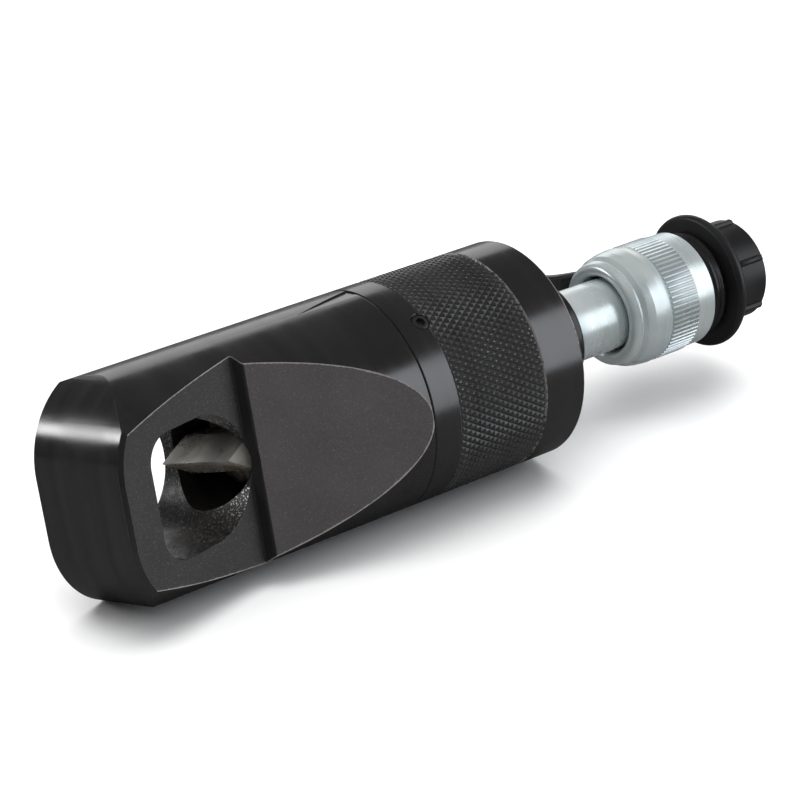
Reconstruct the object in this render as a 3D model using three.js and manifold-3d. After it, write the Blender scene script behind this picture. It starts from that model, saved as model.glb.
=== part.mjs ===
// Hydraulic nut splitter: a single-acting ram with a spring return, a windowed
// head with one wedge chisel, and a quick coupler closed by a tethered dust cap.
//
// Millimetres. The tool axis runs along X: x = 0 is the seam between head and
// barrel, the head points to -X and the coupler to +X. Every turned piece is
// described by a profile of [x, radius] points. The flats of the head are cut in
// the head's own frame, where -Y is outward from the open work face; the last
// group rolls that frame and lifts the tool onto the ground plane.

import * as THREE from 'three';
import Module from 'manifold-3d';
import { mergeVertices } from 'three/addons/utils/BufferGeometryUtils.js';

const wasm = await Module();
wasm.setup();

// ---------------------------------------------------------------- clearances
const GAP = 0.3; // between pieces that are screwed or pressed together
const RUN = 0.3; // between pieces that move on one another
const SEAL_GAP = 0.25; // between a seal and the wall that it wipes

// ---------------------------------------------------------------- whole tool
const BODY_R = 32; // outside radius of head and barrel
const ROLL = THREE.MathUtils.degToRad(14.5); // open face tipped upward as the tool lies

// ---------------------------------------------------------------- head
const HEAD_ANGLE = THREE.MathUtils.degToRad(15); // jaw faces against the tool axis
const JAW_T = 31.3; // thickness between the two parallel jaw faces
const FACE_REAR_X = -48.8; // rear edge of the open face
const FACE_DEPTH = 13; // open face to tool axis at that edge
const FACE_LENGTH = 47; // rear edge of the open face to the front end
const END_CORNER_R = 24; // corner radius of the front end
const STEP_H = 3.8; // wall at the rear edge of the open face
const WINDOW_WIDTH = 35; // nut window across
const WINDOW_LENGTH = 36.3; // nut window along the jaw face
const WINDOW_REAR = -0.5; // rear of the window from the face's rear edge
const WINDOW_CORNER_R = 8; // front corners of the window
const SPIGOT_WALL = 2.4; // thread of the spigot over the piston's bore
const SPIGOT_L = 12;
const POCKET_FLOOR_X = -20;
const STOP_X = 3.4; // shoulder that stops the piston
const BUSH_WALL = 3; // bush pocket over the rod
const BUSH_POCKET_L = 11;
const WIPER_REAR_X = -36.4;
const WIPER_GROOVE_L = 3.6;
const WIPER_GROOVE_DEPTH = 2.6; // over the rod

// ---------------------------------------------------------------- barrel
const BARREL_L = 53.9;
const BORE_R = 26;
const SPIGOT_R = BORE_R + GAP + SPIGOT_WALL; // threaded spigot that the barrel screws onto
const END_WALL = 10;
const BARREL_EDGE = 0.8; // chamfer
const PORT_R = 8.8;

// ---------------------------------------------------------------- ram and chisel
const ROD_R = 13;
const BUSH_POCKET_R = ROD_R + BUSH_WALL;
const WIPER_GROOVE_R = ROD_R + WIPER_GROOVE_DEPTH;
const PISTON_L = 13.5;
const SEAL_GROOVE = { fromRear: 1.8, width: 4.6, r: BORE_R - 4.5 };
const WEAR_GROOVE = { fromRear: 8.6, width: 3.4, r: BORE_R - 2.3 };
const CHISEL_TIP_X = -57.4;
const CHISEL_JOINT_X = -30.4;
const CHISEL_HALF_ANGLE = THREE.MathUtils.degToRad(33);
const CHISEL_FLAT = 10.8; // side flats of the chisel from the axis
const CHISEL_FLAT_L = 14; // how far back the flats run from the tip
const TANG_R = 6;
const TANG_L = 17;
const TANG_SCREW_X = -22;
const SPRING_WIRE = 3;
const SPRING_ROOM = 3.1; // rod to the inside of the spring
const SPRING_R = ROD_R + SPRING_ROOM + SPRING_WIRE / 2;
const POCKET_R = SPRING_R + SPRING_WIRE / 2 + 1.5; // return spring pocket
const SPRING_TURNS = 5.5;
const SPRING_SEAT_T = 1.5;

// ---------------------------------------------------------------- screws
const GRUB_R = 2.5; // M5
const GRUB_SOCKET_AF = 2.5;
const GRUB_SOCKET_DEPTH = 1.8;
const LOCK_SCREW_X = 7.9;
const LOCK_SCREW_ANGLE = THREE.MathUtils.degToRad(28); // from straight up, to -Y

// ---------------------------------------------------------------- coupler
const PORT_THREAD_R = 8.5;
const PORT_WASHER_T = 2;
const NECK_R = 10.8;
const NECK_L = 38.7;
const PORT_WASHER_R = NECK_R + 2.2;
const NECK_X = BARREL_L + PORT_WASHER_T + 2 * GAP;
const NOSE_R = NECK_R + 1.7;
const NOSE_L = 17.8;
const NOSE_FLANGE_R = NECK_R + 3.2;
const NOSE_FLANGE_X = NECK_X + NECK_L;
const NOSE_FLANGE_L = 4;
const NOSE_END_X = NOSE_FLANGE_X + NOSE_FLANGE_L + NOSE_L;
const COUPLER_BORE_R = 8;
const PASSAGE_R = 3.5;
const CAP_SOCKET_R = 9.4;
const CAP_SOCKET_L = 12;
const SEAT_R = 5;

// ---------------------------------------------------------------- collar
const COLLAR_L = 30.9;
const COLLAR_LIP_L = 7.2; // lip to the shoulder inside
const COLLAR_FRONT_X = NOSE_FLANGE_X - 0.4 - COLLAR_LIP_L;
const COLLAR_END_X = COLLAR_FRONT_X + COLLAR_L;
const COLLAR_KNURL_X = COLLAR_FRONT_X + 13.4;
const COLLAR_KNURL_L = 10.5;
const COLLAR_LIP_R = NECK_R + 1.5; // hole that the neck passes through
const COLLAR_BORE_R = NOSE_FLANGE_R + 0.6;
const COLLAR_WALL = 3.2;
const COLLAR_R = COLLAR_BORE_R + COLLAR_WALL;
const COLLAR_RELIEF = 0.4; // plain band below the knurl
const COLLAR_BACK = 17.4; // travel toward the barrel
const SNAP_RING_W = 1.6;
const SNAP_RING_R = COLLAR_BORE_R - 1;

// ---------------------------------------------------------------- valve
const POPPET_R = COUPLER_BORE_R - 0.8;
const POPPET_STEM_R = 2.6;
const POPPET_L = 7;
const POPPET_STEM_L = 14;
const POPPET_TRAVEL = 4;
const GUIDE_T = 3;
const VALVE_SPRING_R = COUPLER_BORE_R - 2.4;
const VALVE_SPRING_WIRE = 1.2;
const VALVE_SPRING_TURNS = 6;

// ---------------------------------------------------------------- dust cap and strap
const CAP_PLUG_R = CAP_SOCKET_R - GAP;
const CAP_PLUG_L = 10;
const CAP_FRONT_X = COLLAR_END_X + GAP;
const CAP_HUB_R = 13;
const CAP_HUB_L = 6.6;
const DISC_X = CAP_FRONT_X + CAP_HUB_L;
const DISC_T = 3.2;
const DISC_R = 20.5;
const KNOB_R = 15.2;
const KNOB_L = 13.4;
const KNOB_END_X = DISC_X + DISC_T + KNOB_L;
const KNOB_RIBS = 6;
const KNOB_RIB_FIRST = THREE.MathUtils.degToRad(87); // from +Y toward +Z
const KNOB_RIB_WIDTH = 2.2;
const KNOB_RIB_HEIGHT = 1.2;
const STRAP_RING_X = NECK_X + 7.1;
const STRAP_RING_W = 4.6;
const STRAP_RING_R = NECK_R + 5.2;
const STRAP_T = 2.6;
const STRAP_W = 9;
const LOOP_W = 4.6;
const LOOP_R = CAP_HUB_R + 3;

const FINE = 64;
const MEDIUM = 40;
const SMALL = 24;

// ---------------------------------------------------------------- materials
const FINISHES = {
  blackOxide: { color: 0x26262a, roughness: 0.35, metalness: 0.85 },
  groundSteel: { color: 0x8f8b86, roughness: 0.3, metalness: 0.95 },
  springSteel: { color: 0x55565a, roughness: 0.4, metalness: 0.9 },
  zinc: { color: 0xc3ccd0, roughness: 0.28, metalness: 0.95 },
  bronze: { color: 0xa5793f, roughness: 0.4, metalness: 0.9 },
  blackRubber: { color: 0x17171a, roughness: 0.6, metalness: 0 },
  sealRubber: { color: 0x1d1d1f, roughness: 0.75, metalness: 0 },
  sealPolyurethane: { color: 0x3b5d8f, roughness: 0.5, metalness: 0 },
  wearPolymer: { color: 0x7c5a3a, roughness: 0.6, metalness: 0 },
  blackPlastic: { color: 0x232326, roughness: 0.5, metalness: 0 },
};

function finish(name) {
  return new THREE.MeshStandardMaterial(FINISHES[name]);
}

// ---------------------------------------------------------------- geometry helpers
function signedVolume(position, triangles) {
  const a = new THREE.Vector3();
  const b = new THREE.Vector3();
  const c = new THREE.Vector3();
  let volume = 0;
  for (let i = 0; i < triangles.length; i += 3) {
    a.fromBufferAttribute(position, triangles[i]);
    b.fromBufferAttribute(position, triangles[i + 1]);
    c.fromBufferAttribute(position, triangles[i + 2]);
    volume += a.dot(b.cross(c)) / 6;
  }
  return volume;
}

// Welds a geometry into one closed mesh whose faces point outward.
function closed(geometry) {
  geometry.deleteAttribute('normal');
  geometry.deleteAttribute('uv');
  const welded = mergeVertices(geometry, 1e-4);
  const source = welded.index.array;
  const triangles = [];
  for (let i = 0; i < source.length; i += 3) {
    const [a, b, c] = [source[i], source[i + 1], source[i + 2]];
    if (a !== b && b !== c && c !== a) triangles.push(a, b, c);
  }
  const position = welded.getAttribute('position');
  if (signedVolume(position, triangles) < 0) {
    for (let i = 0; i < triangles.length; i += 3) {
      [triangles[i + 1], triangles[i + 2]] = [triangles[i + 2], triangles[i + 1]];
    }
  }
  welded.setIndex(triangles);
  welded.computeVertexNormals();
  return welded;
}

function toSolid(geometry) {
  const vertProperties = new Float32Array(geometry.getAttribute('position').array);
  const triVerts = new Uint32Array(geometry.index.array);
  return new wasm.Manifold(new wasm.Mesh({ numProp: 3, vertProperties, triVerts }));
}

function toGeometry(solid) {
  const mesh = solid.getMesh();
  const geometry = new THREE.BufferGeometry();
  const positions = new Float32Array(mesh.vertProperties);
  geometry.setAttribute('position', new THREE.BufferAttribute(positions, mesh.numProp));
  geometry.setIndex(Array.from(mesh.triVerts));
  return closed(geometry);
}

// A piece turned about the tool axis. The profile starts and ends on the axis,
// or closes on itself for a ring. A flat facet always faces straight down.
function turned(profile, segments) {
  const points = profile.map(([x, r]) => new THREE.Vector2(r, x));
  const geometry = new THREE.LatheGeometry(points, segments, Math.PI / segments);
  geometry.rotateZ(-Math.PI / 2);
  return closed(geometry);
}

// A plain ring between two stations along the axis.
function ring(x0, x1, innerR, outerR, segments) {
  return turned([[x0, innerR], [x0, outerR], [x1, outerR], [x1, innerR], [x0, innerR]], segments);
}

// A cylinder on the tool axis.
function rod(x0, x1, radius, segments) {
  return turned([[x0, 0], [x0, radius], [x1, radius], [x1, 0]], segments);
}

function box(x0, x1, y0, y1, z0, z1) {
  const geometry = new THREE.BoxGeometry(x1 - x0, y1 - y0, z1 - z0);
  geometry.translate((x0 + x1) / 2, (y0 + y1) / 2, (z0 + z1) / 2);
  return closed(geometry);
}

// A polygon in the X-Y plane, extruded symmetrically along Z.
function prism(points, halfDepth) {
  const shape = new THREE.Shape(points.map(([x, y]) => new THREE.Vector2(x, y)));
  const geometry = new THREE.ExtrudeGeometry(shape, { depth: 2 * halfDepth, bevelEnabled: false });
  geometry.translate(0, 0, -halfDepth);
  return closed(geometry);
}

class Helix extends THREE.Curve {
  constructor(radius, x0, x1, turns) {
    super();
    Object.assign(this, { radius, x0, x1, turns });
  }

  getPoint(t, target = new THREE.Vector3()) {
    const angle = 2 * Math.PI * this.turns * t;
    const x = this.x0 + (this.x1 - this.x0) * t;
    return target.set(x, this.radius * Math.cos(angle), this.radius * Math.sin(angle));
  }
}

// A round wire wound about the tool axis, filling x0 to x1.
function coilSpring(radius, wire, x0, x1, turns) {
  const section = new THREE.Shape();
  section.absarc(0, 0, wire / 2, 0, 2 * Math.PI);
  const path = new Helix(radius, x0 + wire / 2, x1 - wire / 2, turns);
  const steps = Math.round(turns * 14);
  return closed(new THREE.ExtrudeGeometry(section, {
    steps,
    curveSegments: 4,
    bevelEnabled: false,
    extrudePath: path,
  }));
}

// A headless screw along +Z with a hexagon socket in its top, standing on z = 0.
function grubScrew(length) {
  const body = new THREE.CylinderGeometry(GRUB_R, GRUB_R, length, SMALL);
  body.rotateX(Math.PI / 2);
  body.translate(0, 0, length / 2);
  const socketR = GRUB_SOCKET_AF / Math.sqrt(3);
  const socket = new THREE.CylinderGeometry(socketR, socketR, 2 * GRUB_SOCKET_DEPTH, 6);
  socket.rotateX(Math.PI / 2);
  socket.translate(0, 0, length);
  return toGeometry(toSolid(closed(body)).subtract(toSolid(closed(socket))));
}

// A round hole along +Z from z0 to z1 at station x.
function radialHole(x, radius, z0, z1) {
  const hole = new THREE.CylinderGeometry(radius, radius, z1 - z0, SMALL);
  hole.rotateX(Math.PI / 2);
  hole.translate(x, 0, (z0 + z1) / 2);
  return closed(hole);
}

// ---------------------------------------------------------------- head
const FORWARD = new THREE.Vector3(-Math.cos(HEAD_ANGLE), -Math.sin(HEAD_ANGLE), 0);
const INWARD = new THREE.Vector3(-Math.sin(HEAD_ANGLE), Math.cos(HEAD_ANGLE), 0);
const FACE_ORIGIN = new THREE.Vector3(FACE_REAR_X, -FACE_DEPTH, 0);

// A point at a distance along the open face and a depth below it.
function onFace(along, depth) {
  return FACE_ORIGIN.clone().addScaledVector(FORWARD, along).addScaledVector(INWARD, depth);
}

// A shape drawn on the open face (x along it, y across it), extruded inward.
function cutFromFace(shape, depth0, depth1, curveSegments = 10) {
  const options = { depth: depth1 - depth0, bevelEnabled: false, curveSegments };
  const geometry = new THREE.ExtrudeGeometry(shape, options);
  geometry.translate(0, 0, depth0);
  const across = new THREE.Vector3(0, 0, 1);
  const placing = new THREE.Matrix4().makeBasis(FORWARD, across, INWARD);
  placing.setPosition(FACE_ORIGIN);
  geometry.applyMatrix4(placing);
  return closed(geometry);
}

function rectangle(x0, x1, halfHeight) {
  const shape = new THREE.Shape();
  shape.moveTo(x0, -halfHeight);
  shape.lineTo(x1, -halfHeight);
  shape.lineTo(x1, halfHeight);
  shape.lineTo(x0, halfHeight);
  return shape;
}

// Outline of the jaw: straight sides and a front end with rounded corners.
function jawOutline() {
  const half = BODY_R + 0.5;
  const r = END_CORNER_R;
  const shape = new THREE.Shape();
  shape.moveTo(-2 * FACE_LENGTH, -half);
  shape.lineTo(FACE_LENGTH - r, -half);
  shape.absarc(FACE_LENGTH - r, -half + r, r, -Math.PI / 2, 0);
  shape.lineTo(FACE_LENGTH, half - r);
  shape.absarc(FACE_LENGTH - r, half - r, r, 0, Math.PI / 2);
  shape.lineTo(-2 * FACE_LENGTH, half);
  return shape;
}

// Outline of the nut window: half-round at the rear, rounded corners in front.
function windowOutline() {
  const half = WINDOW_WIDTH / 2;
  const front = WINDOW_REAR + WINDOW_LENGTH;
  const r = WINDOW_CORNER_R;
  const shape = new THREE.Shape();
  shape.moveTo(WINDOW_REAR + half, -half);
  shape.lineTo(front - r, -half);
  shape.absarc(front - r, -half + r, r, -Math.PI / 2, 0);
  shape.lineTo(front, half - r);
  shape.absarc(front - r, half - r, r, 0, Math.PI / 2);
  shape.lineTo(WINDOW_REAR + half, half);
  shape.absarc(WINDOW_REAR + half, 0, half, Math.PI / 2, (3 * Math.PI) / 2);
  return shape;
}

// The turned blank with every bore, still without its flats.
function headBlank() {
  const groove = { x0: 0.8, x1: 3.2, r: SPIGOT_R - 1.7 };
  const outside = turned([
    [-2 * FACE_LENGTH - BODY_R, 0],
    [-2 * FACE_LENGTH - BODY_R, BODY_R],
    [-GAP / 2, BODY_R],
    [-GAP / 2, SPIGOT_R],
    [groove.x0, SPIGOT_R],
    [groove.x0, groove.r],
    [groove.x1, groove.r],
    [groove.x1, SPIGOT_R],
    [SPIGOT_L, SPIGOT_R],
    [SPIGOT_L, 0],
  ], FINE);
  const bushPocketX = POCKET_FLOOR_X - BUSH_POCKET_L;
  const wiperFrontX = WIPER_REAR_X - WIPER_GROOVE_L;
  const guideR = ROD_R + 0.5;
  const bores = turned([
    [FACE_REAR_X - WINDOW_WIDTH / 2, 0],
    [FACE_REAR_X - WINDOW_WIDTH / 2, guideR],
    [wiperFrontX, guideR],
    [wiperFrontX, WIPER_GROOVE_R],
    [WIPER_REAR_X, WIPER_GROOVE_R],
    [WIPER_REAR_X, guideR],
    [bushPocketX, guideR],
    [bushPocketX, BUSH_POCKET_R],
    [POCKET_FLOOR_X, BUSH_POCKET_R],
    [POCKET_FLOOR_X, POCKET_R],
    [STOP_X, POCKET_R],
    [STOP_X, BORE_R + GAP],
    [SPIGOT_L + 5, BORE_R + GAP],
    [SPIGOT_L + 5, 0],
  ], FINE);
  outside.rotateX(ROLL);
  bores.rotateX(ROLL);
  return toSolid(outside).subtract(toSolid(bores));
}

// The slanted relief between the step and the seam, as a cutter.
function reliefCutter() {
  const wallTop = onFace(0, -STEP_H);
  const outside = -3 * BODY_R;
  const points = [
    [wallTop.x, wallTop.y],
    [0, -BODY_R],
    [0, outside],
    [wallTop.x - BODY_R, outside],
  ];
  return prism(points, 2 * BODY_R);
}

function lockScrewDirection() {
  const angle = Math.PI / 2 + LOCK_SCREW_ANGLE;
  return new THREE.Vector3(0, Math.cos(angle), Math.sin(angle));
}

function headGeometry() {
  const far = 3 * BODY_R;
  const side = 2 * BODY_R;
  const outline = toSolid(cutFromFace(jawOutline(), -far, far, 16));
  const overFace = toSolid(cutFromFace(rectangle(0, far, side), -far, 0));
  const underFace = toSolid(cutFromFace(rectangle(-far, far, side), JAW_T, JAW_T + far));
  const nutWindow = toSolid(cutFromFace(windowOutline(), -far, far, 14));
  const dimple = radialHole(LOCK_SCREW_X, GRUB_R + GAP, SPIGOT_R - 0.8, SPIGOT_R + 2);
  dimple.rotateX(LOCK_SCREW_ANGLE + ROLL);
  const solid = headBlank()
    .intersect(outline)
    .subtract(overFace)
    .subtract(underFace)
    .subtract(toSolid(reliefCutter()))
    .subtract(nutWindow)
    .subtract(toSolid(dimple));
  return toGeometry(solid);
}

function headORing() {
  return ring(0.8 + GAP, 3.2 - GAP, SPIGOT_R - 1.7 + SEAL_GAP, SPIGOT_R, MEDIUM);
}

function guideBush() {
  const x0 = POCKET_FLOOR_X - BUSH_POCKET_L + GAP;
  return ring(x0, POCKET_FLOOR_X - GAP, ROD_R + RUN, BUSH_POCKET_R - GAP, MEDIUM);
}

function rodWiper() {
  const x0 = WIPER_REAR_X - WIPER_GROOVE_L + GAP;
  return ring(x0, WIPER_REAR_X - GAP, ROD_R + SEAL_GAP, WIPER_GROOVE_R - GAP, MEDIUM);
}

// ---------------------------------------------------------------- barrel
function barrelGeometry() {
  const floorX = BARREL_L - END_WALL;
  const threadEndX = SPIGOT_L + GAP;
  const threadR = SPIGOT_R + GAP;
  const shell = turned([
    [GAP / 2, threadR],
    [GAP / 2, BODY_R],
    [BARREL_L - BARREL_EDGE, BODY_R],
    [BARREL_L, BODY_R - BARREL_EDGE],
    [BARREL_L, PORT_R],
    [floorX, PORT_R],
    [floorX, BORE_R],
    [threadEndX, BORE_R],
    [threadEndX, threadR],
    [GAP / 2, threadR],
  ], FINE);
  const hole = radialHole(LOCK_SCREW_X, GRUB_R + GAP, SPIGOT_R - 2, BODY_R + 2);
  hole.rotateX(LOCK_SCREW_ANGLE);
  return toGeometry(toSolid(shell).subtract(toSolid(hole)));
}

function headLockScrew() {
  const foot = SPIGOT_R - 0.8 + GAP;
  const screw = grubScrew(BODY_R - 0.4 - foot);
  screw.translate(LOCK_SCREW_X, 0, foot);
  screw.rotateX(LOCK_SCREW_ANGLE);
  return screw;
}

// ---------------------------------------------------------------- ram
const PISTON_REAR_X = BARREL_L - END_WALL - GAP;
const PISTON_FRONT_X = PISTON_REAR_X - PISTON_L;

function grooveProfile(groove) {
  const rear = PISTON_REAR_X - groove.fromRear;
  const front = rear - groove.width;
  const outer = BORE_R - RUN;
  return [[front, outer], [front, groove.r], [rear, groove.r], [rear, outer]];
}

function ramGeometry() {
  const outer = BORE_R - RUN;
  const front = CHISEL_JOINT_X + GAP / 2;
  const tangX = CHISEL_JOINT_X + TANG_L + GAP;
  const body = turned([
    [tangX, 0],
    [tangX, TANG_R + GAP],
    [front, TANG_R + GAP],
    [front, ROD_R],
    [PISTON_FRONT_X, ROD_R],
    [PISTON_FRONT_X, outer],
    ...grooveProfile(WEAR_GROOVE),
    ...grooveProfile(SEAL_GROOVE),
    [PISTON_REAR_X, outer],
    [PISTON_REAR_X, 0],
  ], FINE);
  const hole = radialHole(TANG_SCREW_X, GRUB_R + GAP, TANG_R - 1, ROD_R + 2);
  return toGeometry(toSolid(body).subtract(toSolid(hole)));
}

function pistonRing(groove, gap) {
  const rear = PISTON_REAR_X - groove.fromRear - GAP;
  const front = rear - groove.width + 2 * GAP;
  return ring(front, rear, groove.r + GAP, BORE_R - gap, MEDIUM);
}

// The chisel: a round shank with two side flats and a wedge whose edge lies
// square to the jaw faces, with a tang that enters the rod.
function chiselGeometry() {
  const wedgeBack = CHISEL_JOINT_X - CHISEL_TIP_X + ROD_R;
  const rise = wedgeBack * Math.tan(CHISEL_HALF_ANGLE);
  const shank = rod(CHISEL_TIP_X - ROD_R, CHISEL_JOINT_X, ROD_R, MEDIUM);
  const tang = rod(CHISEL_JOINT_X - 1, CHISEL_JOINT_X + TANG_L, TANG_R, SMALL);
  const wedge = prism([[0, 0], [wedgeBack, rise], [wedgeBack, -rise]], 2 * ROD_R);
  wedge.rotateX(Math.PI / 2);
  wedge.rotateZ(HEAD_ANGLE);
  wedge.translate(CHISEL_TIP_X, 0, 0);
  const flatX = CHISEL_TIP_X + CHISEL_FLAT_L;
  const far = 2 * ROD_R;
  const nearFlat = box(CHISEL_TIP_X - far, flatX, -far, -CHISEL_FLAT, -far, far);
  const farFlat = box(CHISEL_TIP_X - far, flatX, CHISEL_FLAT, far, -far, far);
  const blade = toSolid(shank).intersect(toSolid(wedge));
  return toGeometry(blade
    .subtract(toSolid(nearFlat))
    .subtract(toSolid(farFlat))
    .add(toSolid(tang))
    .subtract(toSolid(radialHole(TANG_SCREW_X, GRUB_R + GAP, TANG_R - 0.8, TANG_R + 2))));
}

function chiselScrew() {
  const foot = TANG_R - 0.8 + GAP;
  const screw = grubScrew(ROD_R - 0.8 - foot);
  screw.translate(TANG_SCREW_X, 0, foot);
  return screw;
}

function springSeat() {
  const x0 = POCKET_FLOOR_X + GAP;
  return ring(x0, x0 + SPRING_SEAT_T, ROD_R + RUN, POCKET_R - GAP, MEDIUM);
}

function returnSpring() {
  const x0 = POCKET_FLOOR_X + SPRING_SEAT_T + 2 * GAP;
  return coilSpring(SPRING_R, SPRING_WIRE, x0, PISTON_FRONT_X - GAP, SPRING_TURNS);
}

// ---------------------------------------------------------------- coupler
const SOCKET_FLOOR_X = NOSE_END_X - CAP_SOCKET_L;
const SEAT_X = SOCKET_FLOOR_X - 2;
const GUIDE_X = SEAT_X - POPPET_L - POPPET_TRAVEL - POPPET_STEM_L + GUIDE_T + RUN;

function couplerBody() {
  return turned([
    [BARREL_L - END_WALL + 2, PASSAGE_R],
    [BARREL_L - END_WALL + 2, PORT_THREAD_R],
    [NECK_X, PORT_THREAD_R],
    [NECK_X, NECK_R],
    [NOSE_FLANGE_X, NECK_R],
    [NOSE_FLANGE_X, NOSE_FLANGE_R],
    [NOSE_FLANGE_X + NOSE_FLANGE_L, NOSE_FLANGE_R],
    [NOSE_FLANGE_X + NOSE_FLANGE_L, NOSE_R],
    [NOSE_END_X, NOSE_R],
    [NOSE_END_X, CAP_SOCKET_R],
    [SOCKET_FLOOR_X, CAP_SOCKET_R],
    [SOCKET_FLOOR_X, SEAT_R],
    [SEAT_X, SEAT_R],
    [SEAT_X - 3, COUPLER_BORE_R],
    [GUIDE_X, COUPLER_BORE_R],
    [GUIDE_X, PASSAGE_R],
    [BARREL_L - END_WALL + 2, PASSAGE_R],
  ], MEDIUM);
}

function portWasher() {
  const x0 = BARREL_L + GAP;
  return ring(x0, x0 + PORT_WASHER_T, PORT_THREAD_R + GAP, PORT_WASHER_R, MEDIUM);
}

// The collar: rounded lip, cone, knurled band and plain band, with a bore for
// the snap ring and the mating thread.
function collarGeometry() {
  const lipR = COLLAR_LIP_R + 2.1;
  const shoulderX = COLLAR_FRONT_X + COLLAR_LIP_L;
  const grooveX = shoulderX - SNAP_RING_W - 2 * RUN;
  const plainR = COLLAR_R - COLLAR_RELIEF;
  const knurlEndX = COLLAR_KNURL_X + COLLAR_KNURL_L;
  return turned([
    [COLLAR_FRONT_X + 2.4, COLLAR_LIP_R],
    [COLLAR_FRONT_X + 0.6, COLLAR_LIP_R + 0.6],
    [COLLAR_FRONT_X, lipR],
    [COLLAR_FRONT_X + 0.9, lipR + 1.9],
    [COLLAR_FRONT_X + 3.4, lipR + 3],
    [COLLAR_KNURL_X - 4, COLLAR_R],
    [COLLAR_KNURL_X - 0.6, COLLAR_R - 0.6],
    [COLLAR_KNURL_X, COLLAR_R],
    [knurlEndX, COLLAR_R],
    [knurlEndX, plainR],
    [COLLAR_END_X - 0.8, plainR],
    [COLLAR_END_X, plainR - 0.8],
    [COLLAR_END_X, COLLAR_BORE_R],
    [shoulderX, COLLAR_BORE_R],
    [grooveX, COLLAR_BORE_R],
    [grooveX, COLLAR_LIP_R],
    [COLLAR_FRONT_X + 2.4, COLLAR_LIP_R],
  ], MEDIUM);
}

function snapRing() {
  const x0 = COLLAR_FRONT_X + COLLAR_LIP_L - SNAP_RING_W - RUN;
  return ring(x0, x0 + SNAP_RING_W, NECK_R + RUN, SNAP_RING_R, MEDIUM);
}

// ---------------------------------------------------------------- valve
function valveGuide() {
  const x0 = GUIDE_X + GAP;
  const guide = ring(x0, x0 + GUIDE_T, POPPET_STEM_R + RUN, COUPLER_BORE_R - GAP, SMALL);
  let solid = toSolid(guide);
  for (let i = 0; i < 3; i += 1) {
    const passage = new THREE.CylinderGeometry(1.2, 1.2, 3 * GUIDE_T, 12);
    passage.rotateZ(Math.PI / 2);
    passage.translate(x0, (POPPET_STEM_R + COUPLER_BORE_R) / 2, 0);
    passage.rotateX((2 * Math.PI * i) / 3);
    solid = solid.subtract(toSolid(closed(passage)));
  }
  return toGeometry(solid);
}

const POPPET_FACE_X = SEAT_X - GAP;

function valvePoppet() {
  const headRear = POPPET_FACE_X - POPPET_L;
  const grooveFront = POPPET_FACE_X - 5.6;
  const grooveRear = POPPET_FACE_X - 3.8;
  return turned([
    [headRear - POPPET_STEM_L, 0],
    [headRear - POPPET_STEM_L, POPPET_STEM_R],
    [headRear, POPPET_STEM_R],
    [headRear, POPPET_R],
    [grooveFront, POPPET_R],
    [grooveFront, POPPET_R - 1.4],
    [grooveRear, POPPET_R - 1.4],
    [grooveRear, POPPET_R],
    [POPPET_FACE_X - 3.2, POPPET_R],
    [POPPET_FACE_X - 0.6, SEAT_R - 0.4],
    [POPPET_FACE_X + 1, SEAT_R - 0.4],
    [POPPET_FACE_X + 1, 0],
  ], SMALL);
}

function valveORing() {
  const x0 = POPPET_FACE_X - 5.6 + GAP;
  return ring(x0, POPPET_FACE_X - 3.8 - GAP, POPPET_R - 1.4 + GAP, COUPLER_BORE_R - SEAL_GAP, SMALL);
}

function valveSpring() {
  const x0 = GUIDE_X + GUIDE_T + 2 * GAP;
  const x1 = POPPET_FACE_X - POPPET_L - GAP;
  return coilSpring(VALVE_SPRING_R, VALVE_SPRING_WIRE, x0, x1, VALVE_SPRING_TURNS);
}

// ---------------------------------------------------------------- dust cap
const LOOP_X = CAP_FRONT_X + 0.9;

function knobRib(index) {
  const half = KNOB_RIB_WIDTH / 2;
  const top = KNOB_R + KNOB_RIB_HEIGHT;
  const rib = box(DISC_X + DISC_T / 2, KNOB_END_X, KNOB_R / 2, top, -half, half);
  rib.rotateX(KNOB_RIB_FIRST + (index * 2 * Math.PI) / KNOB_RIBS);
  return toSolid(rib);
}

function dustCap() {
  const plugEnd = NOSE_END_X - CAP_PLUG_L;
  const body = turned([
    [plugEnd, 0],
    [plugEnd, CAP_PLUG_R - 0.8],
    [plugEnd + 0.8, CAP_PLUG_R],
    [plugEnd + 2.4, CAP_PLUG_R],
    [plugEnd + 2.4, CAP_PLUG_R - 1.5],
    [plugEnd + 4.6, CAP_PLUG_R - 1.5],
    [plugEnd + 4.6, CAP_PLUG_R],
    [CAP_FRONT_X, CAP_PLUG_R],
    [CAP_FRONT_X, CAP_HUB_R],
    [DISC_X, CAP_HUB_R],
    [DISC_X, DISC_R - 1],
    [DISC_X + 1, DISC_R],
    [DISC_X + DISC_T - 1, DISC_R],
    [DISC_X + DISC_T, DISC_R - 1],
    [DISC_X + DISC_T, KNOB_R],
    [KNOB_END_X - 1, KNOB_R],
    [KNOB_END_X, KNOB_R - 1],
    [KNOB_END_X, 0],
  ], MEDIUM);
  let solid = toSolid(body);
  for (let i = 0; i < KNOB_RIBS; i += 1) solid = solid.add(knobRib(i));
  return toGeometry(solid);
}

function capORing() {
  const x0 = NOSE_END_X - CAP_PLUG_L + 2.4 + GAP;
  return ring(x0, x0 + 1.6, CAP_PLUG_R - 1.5 + SEAL_GAP, CAP_SOCKET_R - SEAL_GAP, SMALL);
}

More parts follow.
